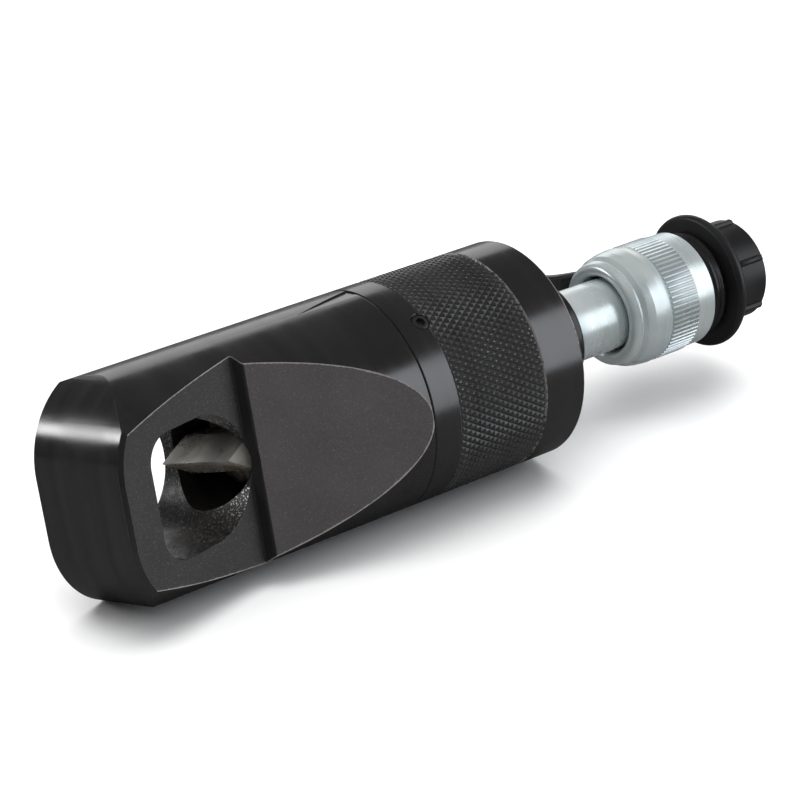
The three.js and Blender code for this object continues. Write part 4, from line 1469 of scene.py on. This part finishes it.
    def _screw_hole(self) -> bpy.types.Object:
        """The lock screw's tapped hole with a countersunk mouth.

        Returns:
            The cutter.
        """
        way = self._screw_direction()
        turn = way.to_track_quat("Z", "Y").to_euler()
        Bench.clear()
        bpy.ops.mesh.primitive_cylinder_add(
            vertices=40, radius=(self.screw_radius + 0.12) * MM, depth=8 * MM, rotation=turn,
            location=self.tool.at(self.screw_x) + way * ((self.radius - 2.5) * MM))
        drill = Bench.fresh("lock_screw_hole")
        bpy.ops.object.mode_set(mode="EDIT")
        Bench.pick(drill, lambda middle, normal: normal.dot(way) > 0.9)
        bpy.ops.transform.translate(value=way * (-1.95 * MM))
        bpy.ops.mesh.extrude_region_move(TRANSFORM_OT_translate={"value": way * (1.2 * MM)})
        bpy.ops.transform.resize(value=(1.42, 1.42, 1.42))
        bpy.ops.mesh.extrude_region_move(TRANSFORM_OT_translate={"value": way * (2 * MM)})
        Bench.outward()
        return drill

    def lock_screw(self) -> bpy.types.Object:
        """The headless lock screw with its hexagon socket.

        Returns:
            The finished screw.
        """
        way = self._screw_direction()
        turn = way.to_track_quat("Z", "Y").to_euler()
        Bench.clear()
        bpy.ops.mesh.primitive_cylinder_add(
            vertices=36, radius=self.screw_radius * MM, depth=self.screw_length * MM, rotation=turn,
            location=self.tool.at(self.screw_x) + way * ((self.screw_top - self.screw_length / 2) * MM))
        screw = Bench.fresh("lock_screw")
        bpy.ops.object.mode_set(mode="EDIT")
        Bench.pick(screw, lambda middle, normal: normal.dot(way) > 0.9)
        bpy.ops.mesh.inset(thickness=0.45 * MM, depth=0.3 * MM)
        Bench.outward()
        Bench.clear()
        bpy.ops.mesh.primitive_cylinder_add(
            vertices=6, radius=self.screw_key / math.sqrt(3) * MM, depth=4 * MM, rotation=turn,
            location=self.tool.at(self.screw_x) + way * ((self.screw_top + 0.8) * MM))
        Bench.carve(screw, Bench.fresh("hex_key"), Cut.REMOVE)
        Bench.bevel(screw, 0.16, segments=2)
        Bench.smooth(screw)
        Bench.dress(screw, self.finishes.screw)
        place(screw, Body.TOOL, Slot.SPRING, "head_lock_screw")
        return screw


# ---------------------------------------------------------------- ram
@dataclass
class RamAssembly:
    """Ram, chisel, seals and return spring."""

    tool: ToolFrame
    finishes: Finishes
    rod_radius: float = 13.0
    piston_radius: float = 25.7
    piston: tuple[float, float] = (30.1, 43.6)
    seal_groove: tuple[float, float, float] = (37.2, 41.8, 21.5)
    wear_groove: tuple[float, float, float] = (31.6, 35.0, 23.7)
    tang: tuple[float, float, float] = (-30.25, -13.1, 6.3)
    stroke: float = 26.0
    tip_x: float = -57.4
    joint_x: float = -30.4
    half_angle: float = math.radians(33.0)
    edge_skew: float = math.radians(20.0)
    edge_roll: float = math.radians(5.0)
    cheek: float = 5.4
    cheek_end_x: float = -41.0
    flat: float = 10.8
    flat_length: float = 14.0
    spring_radius: float = 17.6
    spring_wire: float = 3.0
    spring_turns: float = 5.5
    spring_ends: tuple[float, float] = (-17.9, 29.8)

    def chisel(self) -> bpy.types.Object:
        """Grinds the wedge and the side flats on a round shank.

        Returns:
            The finished chisel.
        """
        r = self.rod_radius
        start, tang_rear = self.tip_x - 8, self.joint_x + 17
        corners = [(start, 0, 0), (start, r, 0), (self.joint_x, r, 0.4), (self.joint_x, 6, 0),
                   (tang_rear, 6, 0.5), (tang_rear, 0, 0)]
        blade = Bench.turned("chisel_blade", self.tool, filleted(corners), steps=128)
        bpy.ops.object.mode_set(mode="EDIT")
        edge = self.tool.jaw(self.tip_x)
        skewed = Vector((-math.cos(self.edge_skew), -math.sin(self.edge_skew), 0))
        ahead = self.tilt @ self.tool.rolled(skewed)
        upward = self.tilt @ self.tool.across
        for side in (1, -1):
            bpy.ops.mesh.select_all(action="SELECT")
            normal = ahead * math.sin(self.half_angle) + upward * (side * math.cos(self.half_angle))
            bpy.ops.mesh.bisect(plane_co=edge, plane_no=normal, use_fill=True, clear_outer=True)
        Bench.outward()
        reach = self.tip_x + self.flat_length
        inward = self.tilt @ self.tool.rolled(Vector((0, 1, 0)))
        for side in (1, -1):
            flat = self._notch(side, self.flat, reach, 1.2)
            self._grind(blade, "side_flat", [(x, y, -30) for x, y in flat], upward)
        for side in (1, -1):
            cheek = self._notch(side, self.cheek, self.cheek_end_x, 3)
            self._grind(blade, "cheek", [(x, -30, z) for x, z in cheek], inward)
        Bench.bevel(blade, 0.16, angle=20, segments=2)
        Bench.smooth(blade, 25)
        Bench.dress(blade, self.finishes.blade)
        place(blade, Body.RAM, Slot.STEEL, "chisel")
        return blade

    @property
    def tilt(self) -> Matrix:
        """The chisel's own small turn about the tool axis."""
        return Matrix.Rotation(-self.edge_roll, 3, "X")

    def _notch(self, side: int, near: float, end: float, runout: float) -> Profile:
        """Outlines what is ground off one side of the shank.

        Args:
            side: 1 or -1.
            near: distance from the axis that is left.
            end: station where the flat has run out.
            runout: length of the slope at its end.

        Returns:
            The outline's points.
        """
        start, far = self.tip_x - 30, side * 30
        outside = side * (self.rod_radius + 0.4)
        return [(start, side * near), (end - runout, side * near), (end, outside), (end, far), (start, far)]

    def _grind(self, blade: bpy.types.Object, name: str, outline: Sequence[tuple[float, float, float]],
               way: Vector) -> None:
        """Grinds an outline of the jaw frame off the blade, right across it."""
        centre = self.tool.at(0)
        points = [centre + self.tilt @ (self.tool.jaw(*point) - centre) for point in outline]
        Bench.carve(blade, Bench.prism(name, points, way * (60 * MM)), Cut.REMOVE)

    def ram(self) -> bpy.types.Object:
        """Turns piston and rod in one.

        Returns:
            The finished ram.
        """
        (front, rear), outer = self.piston, self.piston_radius
        seal_front, seal_rear, seal = self.seal_groove
        wear_front, wear_rear, wear = self.wear_groove
        tang_front, tang_rear, tang = self.tang
        corners = [
            (tang_rear, 0, 0), (tang_rear, tang, 0), (tang_front, tang, 0.2),
            (tang_front, self.rod_radius, 0.5), (front, self.rod_radius, 0.5), (front, outer, 0.5),
            (wear_front, outer, 0), (wear_front, wear, 0), (wear_rear, wear, 0), (wear_rear, outer, 0),
            (seal_front, outer, 0), (seal_front, seal, 0), (seal_rear, seal, 0), (seal_rear, outer, 0),
            (rear, outer, 0.7), (rear, 0, 0),
        ]
        return Lathe(self.tool).make("ram_body", filleted(corners), self.finishes.rod, Body.RAM, Slot.STEEL,
                                     "ram", steps=128)

    def seals(self) -> None:
        """Turns the piston's lipped seal and its guide ring."""
        lathe = Lathe(self.tool)
        rear, inner, outer = self.seal_groove[1] - 0.3, self.seal_groove[2] + 0.3, self.piston_radius
        cup = [(rear - 4, inner, 0.2), (rear - 4, outer - 0.1, 0.3), (rear - 1, outer + 0.05, 0.2),
               (rear, outer, 0.1), (rear - 0.1, outer - 1.1, 0.1), (rear - 1.6, outer - 1.9, 0.3),
               (rear - 0.1, inner + 1.1, 0.1), (rear, inner, 0.1), (rear - 4, inner, 0)]
        lathe.make("piston_cup_seal", filleted(cup, 3), self.finishes.polyurethane, Body.RAM,
                   Slot.POLYURETHANE, "piston_seal")
        front, rear, floor = self.wear_groove
        guide = ring_profile((front + 0.3, rear - 0.3), (floor + 0.3, outer + 0.05), (0, 0.25), steps=3)
        lathe.make("piston_guide_ring", guide, self.finishes.polymer, Body.RAM, Slot.POLYMER,
                   "piston_wear_ring")

    def spring(self) -> bpy.types.Object:
        """Winds the return spring.

        Returns:
            The finished spring.
        """
        start, end = self.spring_ends
        coil = wind(self.tool, "ram_return_coil", self.spring_radius, self.spring_wire, self.spring_ends,
                    self.spring_turns)
        Bench.dress(coil, self.finishes.spring)
        place(coil, Body.TOOL, Slot.SPRING, "return_spring")
        self.tool.at(start)
        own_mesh(coil)
        return coil

    def build(self) -> None:
        """Builds every piece of the ram."""
        self.chisel()
        self.ram()
        self.seals()
        self.spring()


def wind(tool: ToolFrame, name: str, radius: float, wire: float, ends: tuple[float, float],
         turns: float, around: int = 36, section: int = 14) -> bpy.types.Object:
    """Winds a round wire about the tool axis.

    Args:
        tool: the tool frame.
        name: the new piece's name.
        radius: middle radius of the coil.
        wire: diameter of the wire.
        ends: stations of the coil's two outer faces.
        turns: turns of the wire.
        around: steps in a turn.
        section: sides of the wire.

    Returns:
        The coil, closed at both ends.
    """
    start = ends[0] + wire / 2
    pitch = (ends[1] - ends[0] - wire) / turns
    Bench.clear()
    bpy.ops.mesh.primitive_circle_add(vertices=section, radius=wire / 2 * MM, fill_type="NOTHING",
                                      rotation=(math.pi / 2, 0, 0), location=(0, 0, 0))
    coil = Bench.fresh(name)
    bpy.ops.object.transform_apply(location=True, rotation=True, scale=True)
    bpy.ops.object.mode_set(mode="EDIT")
    bpy.ops.mesh.select_all(action="SELECT")
    bpy.ops.transform.translate(value=(0, 0, radius * MM))
    bpy.ops.object.mode_set(mode="OBJECT")
    Bench.modifier(coil, "SCREW", axis="X", angle=FULL_TURN * turns, screw_offset=pitch * turns * MM,
                   steps=round(around * turns), render_steps=round(around * turns), use_merge_vertices=False)
    Bench.take(coil)
    bpy.ops.object.mode_set(mode="EDIT")
    bpy.ops.mesh.select_mode(type="EDGE")
    bpy.ops.mesh.select_all(action="DESELECT")
    mesh = bmesh.from_edit_mesh(coil.data)
    for edge in mesh.edges:
        edge.select_set(edge.is_boundary)
    bmesh.update_edit_mesh(coil.data)
    bpy.ops.mesh.fill_holes(sides=0)
    Bench.outward()
    coil.location = tool.at(start)
    Bench.smooth(coil, 50)
    return coil


# ---------------------------------------------------------------- guide and seals of the head
@dataclass
class HeadInternals:
    """O-ring, guide bush, wiper and spring seat inside the head, and the CAD screws."""

    tool: ToolFrame
    finishes: Finishes
    o_ring: tuple[tuple[float, float], tuple[float, float]] = ((1.1, 2.9), (27.25, 28.7))
    bush: tuple[tuple[float, float], tuple[float, float]] = ((-30.7, -20.3), (13.3, 15.7))
    seat: tuple[tuple[float, float], tuple[float, float]] = ((-19.7, -18.2), (13.3, 20.3))
    wiper: tuple[float, float] = (-39.7, -36.7)
    wiper_radii: tuple[float, float] = (13.25, 15.3)

    def wiper_profile(self) -> Profile:
        """The wiper's section, with its lip to the front."""
        (front, rear), (lip, outer) = self.wiper, self.wiper_radii
        start = (front, outer - 1.1, 0)
        corners = [start, (front, outer, 0.2), (rear, outer, 0.2), (rear, lip + 0.55, 0.2),
                   (rear - 1.7, lip + 0.45, 0.2), (front, lip, 0.1), start]
        return filleted(corners)

    def build(self) -> None:
        """Builds the rings and dresses the CAD nodes that stay."""
        done, lathe = self.finishes, Lathe(self.tool)
        lathe.make("seam_o_ring", ring_profile(*self.o_ring, (0.6, 0.3)), done.rubber, Body.TOOL, Slot.RUBBER,
                   "head_o_ring")
        lathe.make("rod_bush", ring_profile(*self.bush, (0.4, 0.3)), done.bronze, Body.TOOL, Slot.BRONZE,
                   "rod_guide_bush")
        lathe.make("rod_wiper_lip", self.wiper_profile(), done.rubber, Body.TOOL, Slot.RUBBER, "rod_wiper")
        lathe.make("spring_seat_ring", ring_profile(*self.seat, (0.3, 0.3)), done.spring, Body.TOOL,
                   Slot.SPRING, "spring_seat")
        for node, material in (("chisel_lock_screw", done.screw), ("valve_guide", done.zinc)):
            Bench.dress(bpy.data.objects[node], material)
            LOG.info("%s keeps its CAD shape", node)


# ---------------------------------------------------------------- coupler
@dataclass
class Coupler:
    """Neck, washer, collar, snap ring and valve of the quick coupler."""

    tool: ToolFrame
    finishes: Finishes
    port_thread: tuple[float, float, float] = (46.0, 56.5, 8.5)
    neck_radius: float = 10.8
    flange: tuple[float, float, float] = (95.2, 99.2, 14.0)
    nose: tuple[float, float] = (117.0, 12.5)
    socket: tuple[float, float] = (105.0, 9.4)
    seat_radius: float = 5.0
    chamber: tuple[float, float, float] = (81.3, 100.0, 8.0)
    oil_way: float = 3.5
    seal_washer: tuple[tuple[float, float], tuple[float, float]] = ((54.2, 56.2), (8.8, 13.0))
    snap_ring: tuple[tuple[float, float], tuple[float, float]] = ((92.9, 94.5), (11.1, 13.6))
    poppet_seal: tuple[tuple[float, float], tuple[float, float]] = ((96.4, 97.6), (6.1, 7.75))
    poppet_face: float = 101.7
    poppet_radius: float = 7.2
    poppet_lift: float = 4.0
    stem_radius: float = 2.6
    tip_radius: float = 4.6
    coil_ends: tuple[float, float] = (84.9, 94.4)
    coil_radius: float = 5.6
    coil_wire: float = 1.2
    coil_turns: float = 6
    collar_ends: tuple[float, float] = (87.6, 118.5)
    collar_radius: float = 17.8
    collar_bore: float = 14.6
    lip_radius: float = 11.4
    ribs: int = 72
    rib_height: float = 0.42
    knurl: tuple[float, float] = (101.0, 111.5)

    def neck(self) -> None:
        """Turns the coupler's body: port thread, neck, flange, nose and valve chamber."""
        thread_front, thread_rear, thread = self.port_thread
        flange_front, flange_rear, flange = self.flange
        chamber_front, chamber_rear, chamber = self.chamber
        (nose_end, nose), (socket_front, socket) = self.nose, self.socket
        seat_front = chamber_rear + 3
        corners = [
            (thread_front, self.oil_way, 0), (thread_front, thread, 0.6), (thread_rear, thread, 0),
            (thread_rear, self.neck_radius, 0.5), (flange_front, self.neck_radius, 0),
            (flange_front, flange, 0.4), (flange_rear, flange, 0.4), (flange_rear, nose, 0),
            (nose_end, nose, 0.7), (nose_end, socket, 0.4), (socket_front, socket, 0),
            (socket_front, self.seat_radius, 0.3), (seat_front, self.seat_radius, 0),
            (chamber_rear, chamber, 0), (chamber_front, chamber, 0), (chamber_front, self.oil_way, 0),
            (thread_front, self.oil_way, 0),
        ]
        Lathe(self.tool).make("coupler_neck", filleted(corners), self.finishes.zinc, Body.TOOL, Slot.ZINC,
                              "coupler_body", steps=112)

    def washer(self) -> None:
        """Turns the sealing washer between barrel and neck."""
        Lathe(self.tool).make("port_seal_washer", ring_profile(*self.seal_washer, (0.3, 0.35), steps=3),
                              self.finishes.zinc, Body.TOOL, Slot.ZINC, "port_washer")

    def collar_profile(self) -> Profile:
        """The collar's section: rolled lip, shoulder, knurled band and plain band.

        Returns:
            The section's points.
        """
        (start, end), (front, rear) = self.collar_ends, self.knurl
        top, bore, lip = self.collar_radius, self.collar_bore, self.lip_radius
        root, ledge = top - self.rib_height, start + 6.4
        return filleted([
            (ledge, bore, 0), (ledge, lip, 0), (start + 2.8, lip, 0.8), (start, lip + 0.8, 1.7),
            (start, top - 2.5, 1.8), (start + 2.7, top - 1.8, 0.5), (start + 3.2, top - 2.05, 0.25),
            (start + 4.5, top - 0.9, 0.9), (start + 7, top - 0.35, 0.9), (start + 10.4, top - 0.05, 0.8),
            (front - 0.9, root + 0.05, 0.4), (front - 0.35, root - 0.1, 0), (front, root, 0), (rear, root, 0),
            (rear + 0.5, root - 0.02, 0), (end - 0.6, root - 0.05, 0), (end, root - 0.65, 0.3),
            (end, bore, 0.4), (ledge + 0.8, bore, 0), (ledge, bore, 0),
        ])

    def collar(self) -> bpy.types.Object:
        """Turns the collar with its rolled lip, and presses the straight knurl.

        Returns:
            The finished collar.
        """
        root = self.collar_radius - self.rib_height
        front, rear = self.knurl
        collar = Bench.turned("collar_sleeve", self.tool, self.collar_profile(), steps=2 * self.ribs)
        bpy.ops.object.mode_set(mode="EDIT")
        low, high = self.tool.at(front).x, self.tool.at(rear).x
        middle = (low + high) / 2

        def crest(point: Vector, normal: Vector) -> bool:
            """Every second facet of the knurled band."""
            turn = math.atan2(point.y, point.z - self.tool.axis_z) / FULL_TURN * 2 * self.ribs
            on_band = abs(point.x - middle) < 0.2 * MM and self.tool.radius(point) > root - 0.5
            return on_band and round(turn - 0.5) % 2 == 0

        count = Bench.pick(collar, crest)
        bpy.ops.mesh.inset(thickness=0.1 * MM, depth=self.rib_height * 0.6 * MM, use_individual=True)
        bpy.ops.mesh.inset(thickness=0.14 * MM, depth=self.rib_height * 0.4 * MM, use_individual=True)
        LOG.info("collar has %d ribs", count)
        bpy.ops.object.mode_set(mode="OBJECT")
        Bench.smooth(collar, 24)
        Bench.dress(collar, self.finishes.collar_zinc)
        place(collar, Body.COLLAR, Slot.ZINC, "coupler_collar")
        return collar

    def poppet_profile(self) -> Profile:
        """The poppet's section: stem, grooved head and tip.

        Returns:
            The section's points.
        """
        face, top, tip = self.poppet_face, self.poppet_radius, self.tip_radius
        groove_front, groove_rear, floor = face - 5.6, face - 3.8, top - 1.4
        return filleted([
            (face - 21, 0, 0), (face - 21, self.stem_radius, 0.4), (face - 7, self.stem_radius, 0.3),
            (face - 7, top, 0.3), (groove_front, top, 0), (groove_front, floor, 0), (groove_rear, floor, 0),
            (groove_rear, top, 0), (face - 3.2, top, 0.2), (face - 0.6, tip, 0.3), (face + 1, tip, 0.4),
            (face + 1, 0, 0),
        ], 3)

    def valve(self) -> None:
        """Builds the snap ring, the poppet, its O-ring and its spring."""
        done, lathe = self.finishes, Lathe(self.tool)
        lathe.make("snap_ring_wire", ring_profile(*self.snap_ring, (0.5, 0.5)), done.spring, Body.SNAP_RING,
                   Slot.SPRING, "collar_snap_ring")
        lathe.make("check_poppet", self.poppet_profile(), done.rod, Body.POPPET, Slot.STEEL, "valve_poppet",
                   steps=72)
        lathe.make("poppet_o_ring", ring_profile(*self.poppet_seal, (0.4, 0.4)), done.rubber, Body.POPPET,
                   Slot.RUBBER, "valve_o_ring")
        start, end = self.coil_ends
        coil = wind(self.tool, "check_valve_coil", self.coil_radius, self.coil_wire, self.coil_ends,
                    self.coil_turns, around=28, section=10)
        Bench.dress(coil, done.spring)
        place(coil, Body.TOOL, Slot.SPRING, "valve_spring")
        self.tool.at(start)
        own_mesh(coil)

    def build(self) -> None:
        """Builds every piece of the coupler."""
        self.neck()
        self.washer()
        self.collar()
        self.valve()


# ---------------------------------------------------------------- dust cap and tether
@dataclass
class DustCap:
    """The pull-off dust cap, its O-ring and its elastic tether."""

    tool: ToolFrame
    finishes: Finishes
    plug: tuple[float, float] = (107.0, 9.1)
    seal_groove: tuple[float, float, float] = (109.4, 111.6, 7.6)
    hub: tuple[float, float] = (118.8, 13.0)
    disc: tuple[float, float, float] = (125.4, 128.6, 20.5)
    knob: tuple[float, float] = (131.4, 141.1)
    knob_radius: float = 15.2
    rib_pitch: float = 60.0
    first_rib: float = 86.25
    rib_height: float = 1.0
    neck_ring: tuple[tuple[float, float], tuple[float, float]] = ((63.6, 68.2), (11.1, 16.0))
    loop: tuple[tuple[float, float], tuple[float, float]] = ((119.7, 124.3), (13.3, 16.0))
    bent: tuple[float, float] = (70.0, 119.0)
    band_width: float = 9.0
    band_thickness: float = 2.6
    route: tuple[tuple[float, float, float], ...] = field(default=(
        (65.9, 14.92, 36), (76, 20.89, 14), (88, 22.72, 1), (101, 23.03, -5), (113, 21.26, -8),
        (121.7, 15.81, -8)))

    def cap_profile(self) -> Profile:
        """The cap's section: plug, hub, disc and hollow-ended knob.

        Returns:
            The section's points.
        """
        (plug_front, plug), (hub_front, hub) = self.plug, self.hub
        groove_front, groove_rear, groove = self.seal_groove
        disc_front, disc_rear, disc = self.disc
        (front, rear), knob = self.knob, self.knob_radius
        end = rear + 0.9
        return filleted([
            (plug_front, 0, 0), (plug_front, plug, 0.8), (groove_front, plug, 0), (groove_front, groove, 0),
            (groove_rear, groove, 0), (groove_rear, plug, 0), (hub_front, plug, 0.3), (hub_front, hub, 0.2),
            (disc_front, hub, 0.6), (disc_front, disc, 1.4), (disc_rear, disc, 1.4),
            (disc_rear, knob + 1.4, 0.8), (disc_rear + 1, knob + 0.2, 0.8), (front, knob, 0), (rear, knob, 0),
            (end, knob - 0.8, 0.7), (end, knob - 4, 0.5), (end - 0.8, knob - 4.8, 0.5), (end - 0.8, 0, 0),
        ])

    def cap(self) -> bpy.types.Object:
        """Turns plug, hub, disc and knob, and raises the ribs.

        Returns:
            The finished cap.
        """
        cap = Bench.turned("cap_knob", self.tool, self.cap_profile(), steps=96)
        bpy.ops.object.mode_set(mode="EDIT")
        middle = self.tool.at(sum(self.knob) / 2).x
        half = self.rib_pitch / 2

        def rib(point: Vector, normal: Vector) -> bool:
            """Two facets of the knob for every rib."""
            angle = math.degrees(math.atan2(point.z - self.tool.axis_z, point.y))
            off = (angle - self.first_rib + half) % self.rib_pitch - half
            return abs(point.x - middle) < MM and self.tool.radius(point) > 14 and abs(off) < 3.75

        count = Bench.pick(cap, rib)
        bpy.ops.mesh.inset(thickness=0.32 * MM, depth=self.rib_height * 0.75 * MM)
        bpy.ops.mesh.inset(thickness=0.3 * MM, depth=self.rib_height * 0.25 * MM)
        LOG.info("cap has %d rib facets", count)
        bpy.ops.object.mode_set(mode="OBJECT")
        Bench.smooth(cap, 40)
        Bench.dress(cap, self.finishes.cap)
        place(cap, Body.CAP, Slot.CAP, "dust_cap")
        front, rear, floor = self.seal_groove
        seal = ring_profile((front + 0.3, rear - 0.3), (floor + 0.25, self.plug[1] + 0.05), (0.5, 0.3))
        Lathe(self.tool).make("plug_o_ring", seal, self.finishes.rubber, Body.CAP, Slot.RUBBER, "cap_o_ring")
        return cap

    def _route_point(self, t: float) -> Vector:
        """Follows the tether's middle line, in the tool frame.

        Args:
            t: from 0 at the neck ring to 1 at the loop.

        Returns:
            The point in millimetres.
        """
        points = []
        for x, r, degrees in self.route:
            a = math.radians(degrees)
            points.append(Vector((x, r * math.cos(a), r * math.sin(a))))
        station = t * (len(points) - 1)
        i = min(int(station), len(points) - 2)
        f = station - i
        p0 = points[i - 1] if i else points[0] * 2 - points[1]
        p3 = points[i + 2] if i + 2 < len(points) else points[-1] * 2 - points[-2]
        p1, p2 = points[i], points[i + 1]
        return 0.5 * (2 * p1 + (p2 - p0) * f + (2 * p0 - 5 * p1 + 4 * p2 - p3) * f * f
                      + (3 * p1 - p0 - 3 * p2 + p3) * f ** 3)

    def _band_point(self, t: float, side: float) -> Vector:
        """A point of the band's middle sheet.

        Args:
            t: from 0 at the neck ring to 1 at the cap's loop.
            side: from -0.5 to 0.5 across the band.

        Returns:
            The point in the row frame.
        """
        point = self._route_point(t)
        ahead = (self._route_point(min(t + 0.01, 1)) - self._route_point(max(t - 0.01, 0))).normalized()
        away = Vector((0, point.y, point.z)).normalized()
        wide = away.cross(ahead).normalized()
        flare = 1.0 + 0.25 * (2 * t - 1) ** 4
        crown = 0.35 * (1 - (2 * side) ** 2)
        return self.tool.at(*(point + wide * (side * (self.band_width - 1.2) * flare) + away * crown))

    def band(self) -> bpy.types.Object:
        """Bends a flat strip along the tether's route and gives it thickness.

        Returns:
            The band, without its rings.
        """
        steps, lanes = 40, 4
        Bench.clear()
        bpy.ops.mesh.primitive_grid_add(x_subdivisions=steps, y_subdivisions=lanes, size=MM,
                                        location=(0, 0, 0))
        strip = Bench.fresh("tether_band")
        mesh = bmesh.new()
        mesh.from_mesh(strip.data)
        for vertex in mesh.verts:
            vertex.co = self._band_point(vertex.co.x / MM + 0.5, vertex.co.y / MM)
        mesh.to_mesh(strip.data)
        mesh.free()
        Bench.modifier(strip, "SOLIDIFY", thickness=self.band_thickness * MM, offset=0.0)
        Bench.bevel(strip, 0.9, angle=50, segments=3)
        return strip

    def loop_profile(self) -> Profile:
        """The cap loop's section, waisted in its middle."""
        (front, rear), (inner, outer) = self.loop
        start = (front, outer - 1.5, 0)
        return filleted([start, (front, outer, 1.2), (front + 2.5, outer - 0.3, 0.9),
                         (rear, outer + 0.2, 1.0), (rear, inner, 0.5), (front, inner, 0.5), start])

    def tether(self) -> bpy.types.Object:
        """Moulds neck ring, band and cap loop in one.

        Returns:
            The finished tether.
        """
        bore = self.neck_ring[1][0]
        rings = [
            Bench.turned("tether_neck_ring", self.tool, ring_profile(*self.neck_ring, (0.5, 1.3)), steps=96),
            Bench.turned("tether_cap_loop", self.tool, self.loop_profile(), steps=96),
        ]
        tether = self.band()
        Bench.smooth(tether, 45)
        room = Bench.turned("tether_bore", self.tool, [(60, 0), (60, bore), (72, bore), (72, 0)], steps=96)
        Bench.carve(tether, room, Cut.REMOVE)
        for ring in rings:
            Bench.carve(tether, ring, Cut.JOIN)
        tether.name = "cap_tether"
        Bench.smooth(tether, 40)
        Bench.dress(tether, self.finishes.strap)
        start, end = (self.tool.at(x) for x in self.bent)
        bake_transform(tether)
        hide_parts("dust_strap", "strap_loop")
        LOG.info("cap_tether bends between body and cap_loop")
        return tether

    def build(self) -> None:
        """Builds cap and tether."""
        self.cap()
        self.tether()


# ---------------------------------------------------------------- studio
@dataclass
class Softbox:
    """A soft rectangular light."""

    name: str
    azimuth: float
    elevation: float
    distance: float
    width: float
    height: float
    radiance: float
    colour: Colour = (1.0, 1.0, 1.0)
    mirrored: bool = True

    def build(self, target: Vector) -> None:
        """Hangs the light round a target.

        Args:
            target: the point that it faces.
        """
        a, e = math.radians(self.azimuth), math.radians(self.elevation)
        away = Vector((math.sin(a) * math.cos(e), math.cos(a) * math.cos(e), math.sin(e)))
        data = bpy.data.lights.new(self.name, "AREA")
        data.shape = "RECTANGLE"
        data.size, data.size_y = self.width, self.height
        data.energy = self.radiance * math.pi * self.width * self.height
        data.color = self.colour
        lamp = bpy.data.objects.new(self.name, data)
        bpy.context.scene.collection.objects.link(lamp)
        lamp.location = target + away * self.distance
        lamp.rotation_euler = away.to_track_quat("Z", "Y").to_euler()
        lamp.visible_glossy = self.mirrored


@dataclass
class Studio:
    """Pale floor, soft lights and the camera."""

    target: Vector
    camera_place: tuple[float, float, float] = (-0.44775, -0.5616, 0.40446)
    camera_turn: tuple[float, float] = (62.2, -38.1)
    lens: float = 128.7
    floor_tone: float = 0.93
    floor_mirrored: float = 0.11

    def floor(self) -> None:
        """Lays the floor, which is dimmer where the tool mirrors it."""
        Bench.clear()
        bpy.ops.mesh.primitive_plane_add(size=9.0, location=(0, 0, -0.0002))
        floor = Bench.fresh("studio_floor")
        material = bpy.data.materials.new("studio_floor")
        material.use_nodes = True
        shader = material.node_tree.nodes["Principled BSDF"]
        graph = Graph(material.node_tree)
        mirrored = graph.node("LightPath").outputs["Is Glossy Ray"]
        tone, dim = (self.floor_tone,) * 3, (self.floor_mirrored,) * 3
        graph.put(shader.inputs["Base Color"], graph.mix(mirrored, tone, dim))
        shader.inputs["Roughness"].default_value = 0.9
        shader.inputs["Specular IOR Level"].default_value = 0.0
        floor.data.materials.append(material)

    def surround(self) -> None:
        """Makes the dim room around the lights."""
        world = bpy.data.worlds.new("studio")
        world.use_nodes = True
        back = world.node_tree.nodes["Background"]
        back.inputs["Strength"].default_value = 0.12
        back.inputs["Color"].default_value = (1.0, 1.0, 1.0, 1)
        bpy.context.scene.world = world

    def camera(self) -> None:
        """Sets the camera."""
        data = bpy.data.cameras.new("studio_camera")
        data.lens = self.lens
        data.sensor_width = 36.0
        data.clip_start, data.clip_end = 0.01, 50.0
        camera = bpy.data.objects.new("studio_camera", data)
        bpy.context.scene.collection.objects.link(camera)
        camera.location = self.camera_place
        camera.rotation_euler = (math.radians(self.camera_turn[0]), 0, math.radians(self.camera_turn[1]))
        bpy.context.scene.camera = camera

    def build(self) -> None:
        """Builds the studio."""
        self.camera()
        self.floor()
        self.surround()
        for lamp in (
            Softbox("backdrop", 38, 12, 1.7, 1.7, 0.75, 1.0),
            Softbox("flank_box", 130, 18, 1.3, 0.95, 1.05, 1.9, (0.91, 0.95, 1.0)),
            Softbox("front_strip", -44, 19, 1.4, 0.62, 0.15, 9.5),
            Softbox("key", 25, 70, 1.5, 2.2, 2.2, 2.7, mirrored=False),
            Softbox("fill", -150, 70, 1.8, 1.9, 1.9, 1.6, mirrored=False),
        ):
            lamp.build(self.target)
        bpy.context.scene.view_settings.view_transform = "Standard"


# ---------------------------------------------------------------- assembly
def main() -> None:
    """Builds the looks around the frame."""
    logging.basicConfig(level=logging.INFO, format="%(name)s: %(message)s")
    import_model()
    barrel_low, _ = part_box("barrel")
    collar_low, collar_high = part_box("coupler_collar")
    tool = ToolFrame(seam_x=barrel_low.x - 0.15 * MM, axis_z=(collar_low.z + collar_high.z) / 2)
    Studio(target=tool.at(-20)).build()
    finishes = Finishes(tool)
    Head(tool, finishes).build()
    barrel = Barrel(tool, finishes)
    barrel.build()
    barrel.lock_screw()
    HeadInternals(tool, finishes).build()
    RamAssembly(tool, finishes).build()
    Coupler(tool, finishes).build()
    DustCap(tool, finishes).build()
    Bench.clear()


if __name__ == "__main__":
    main()
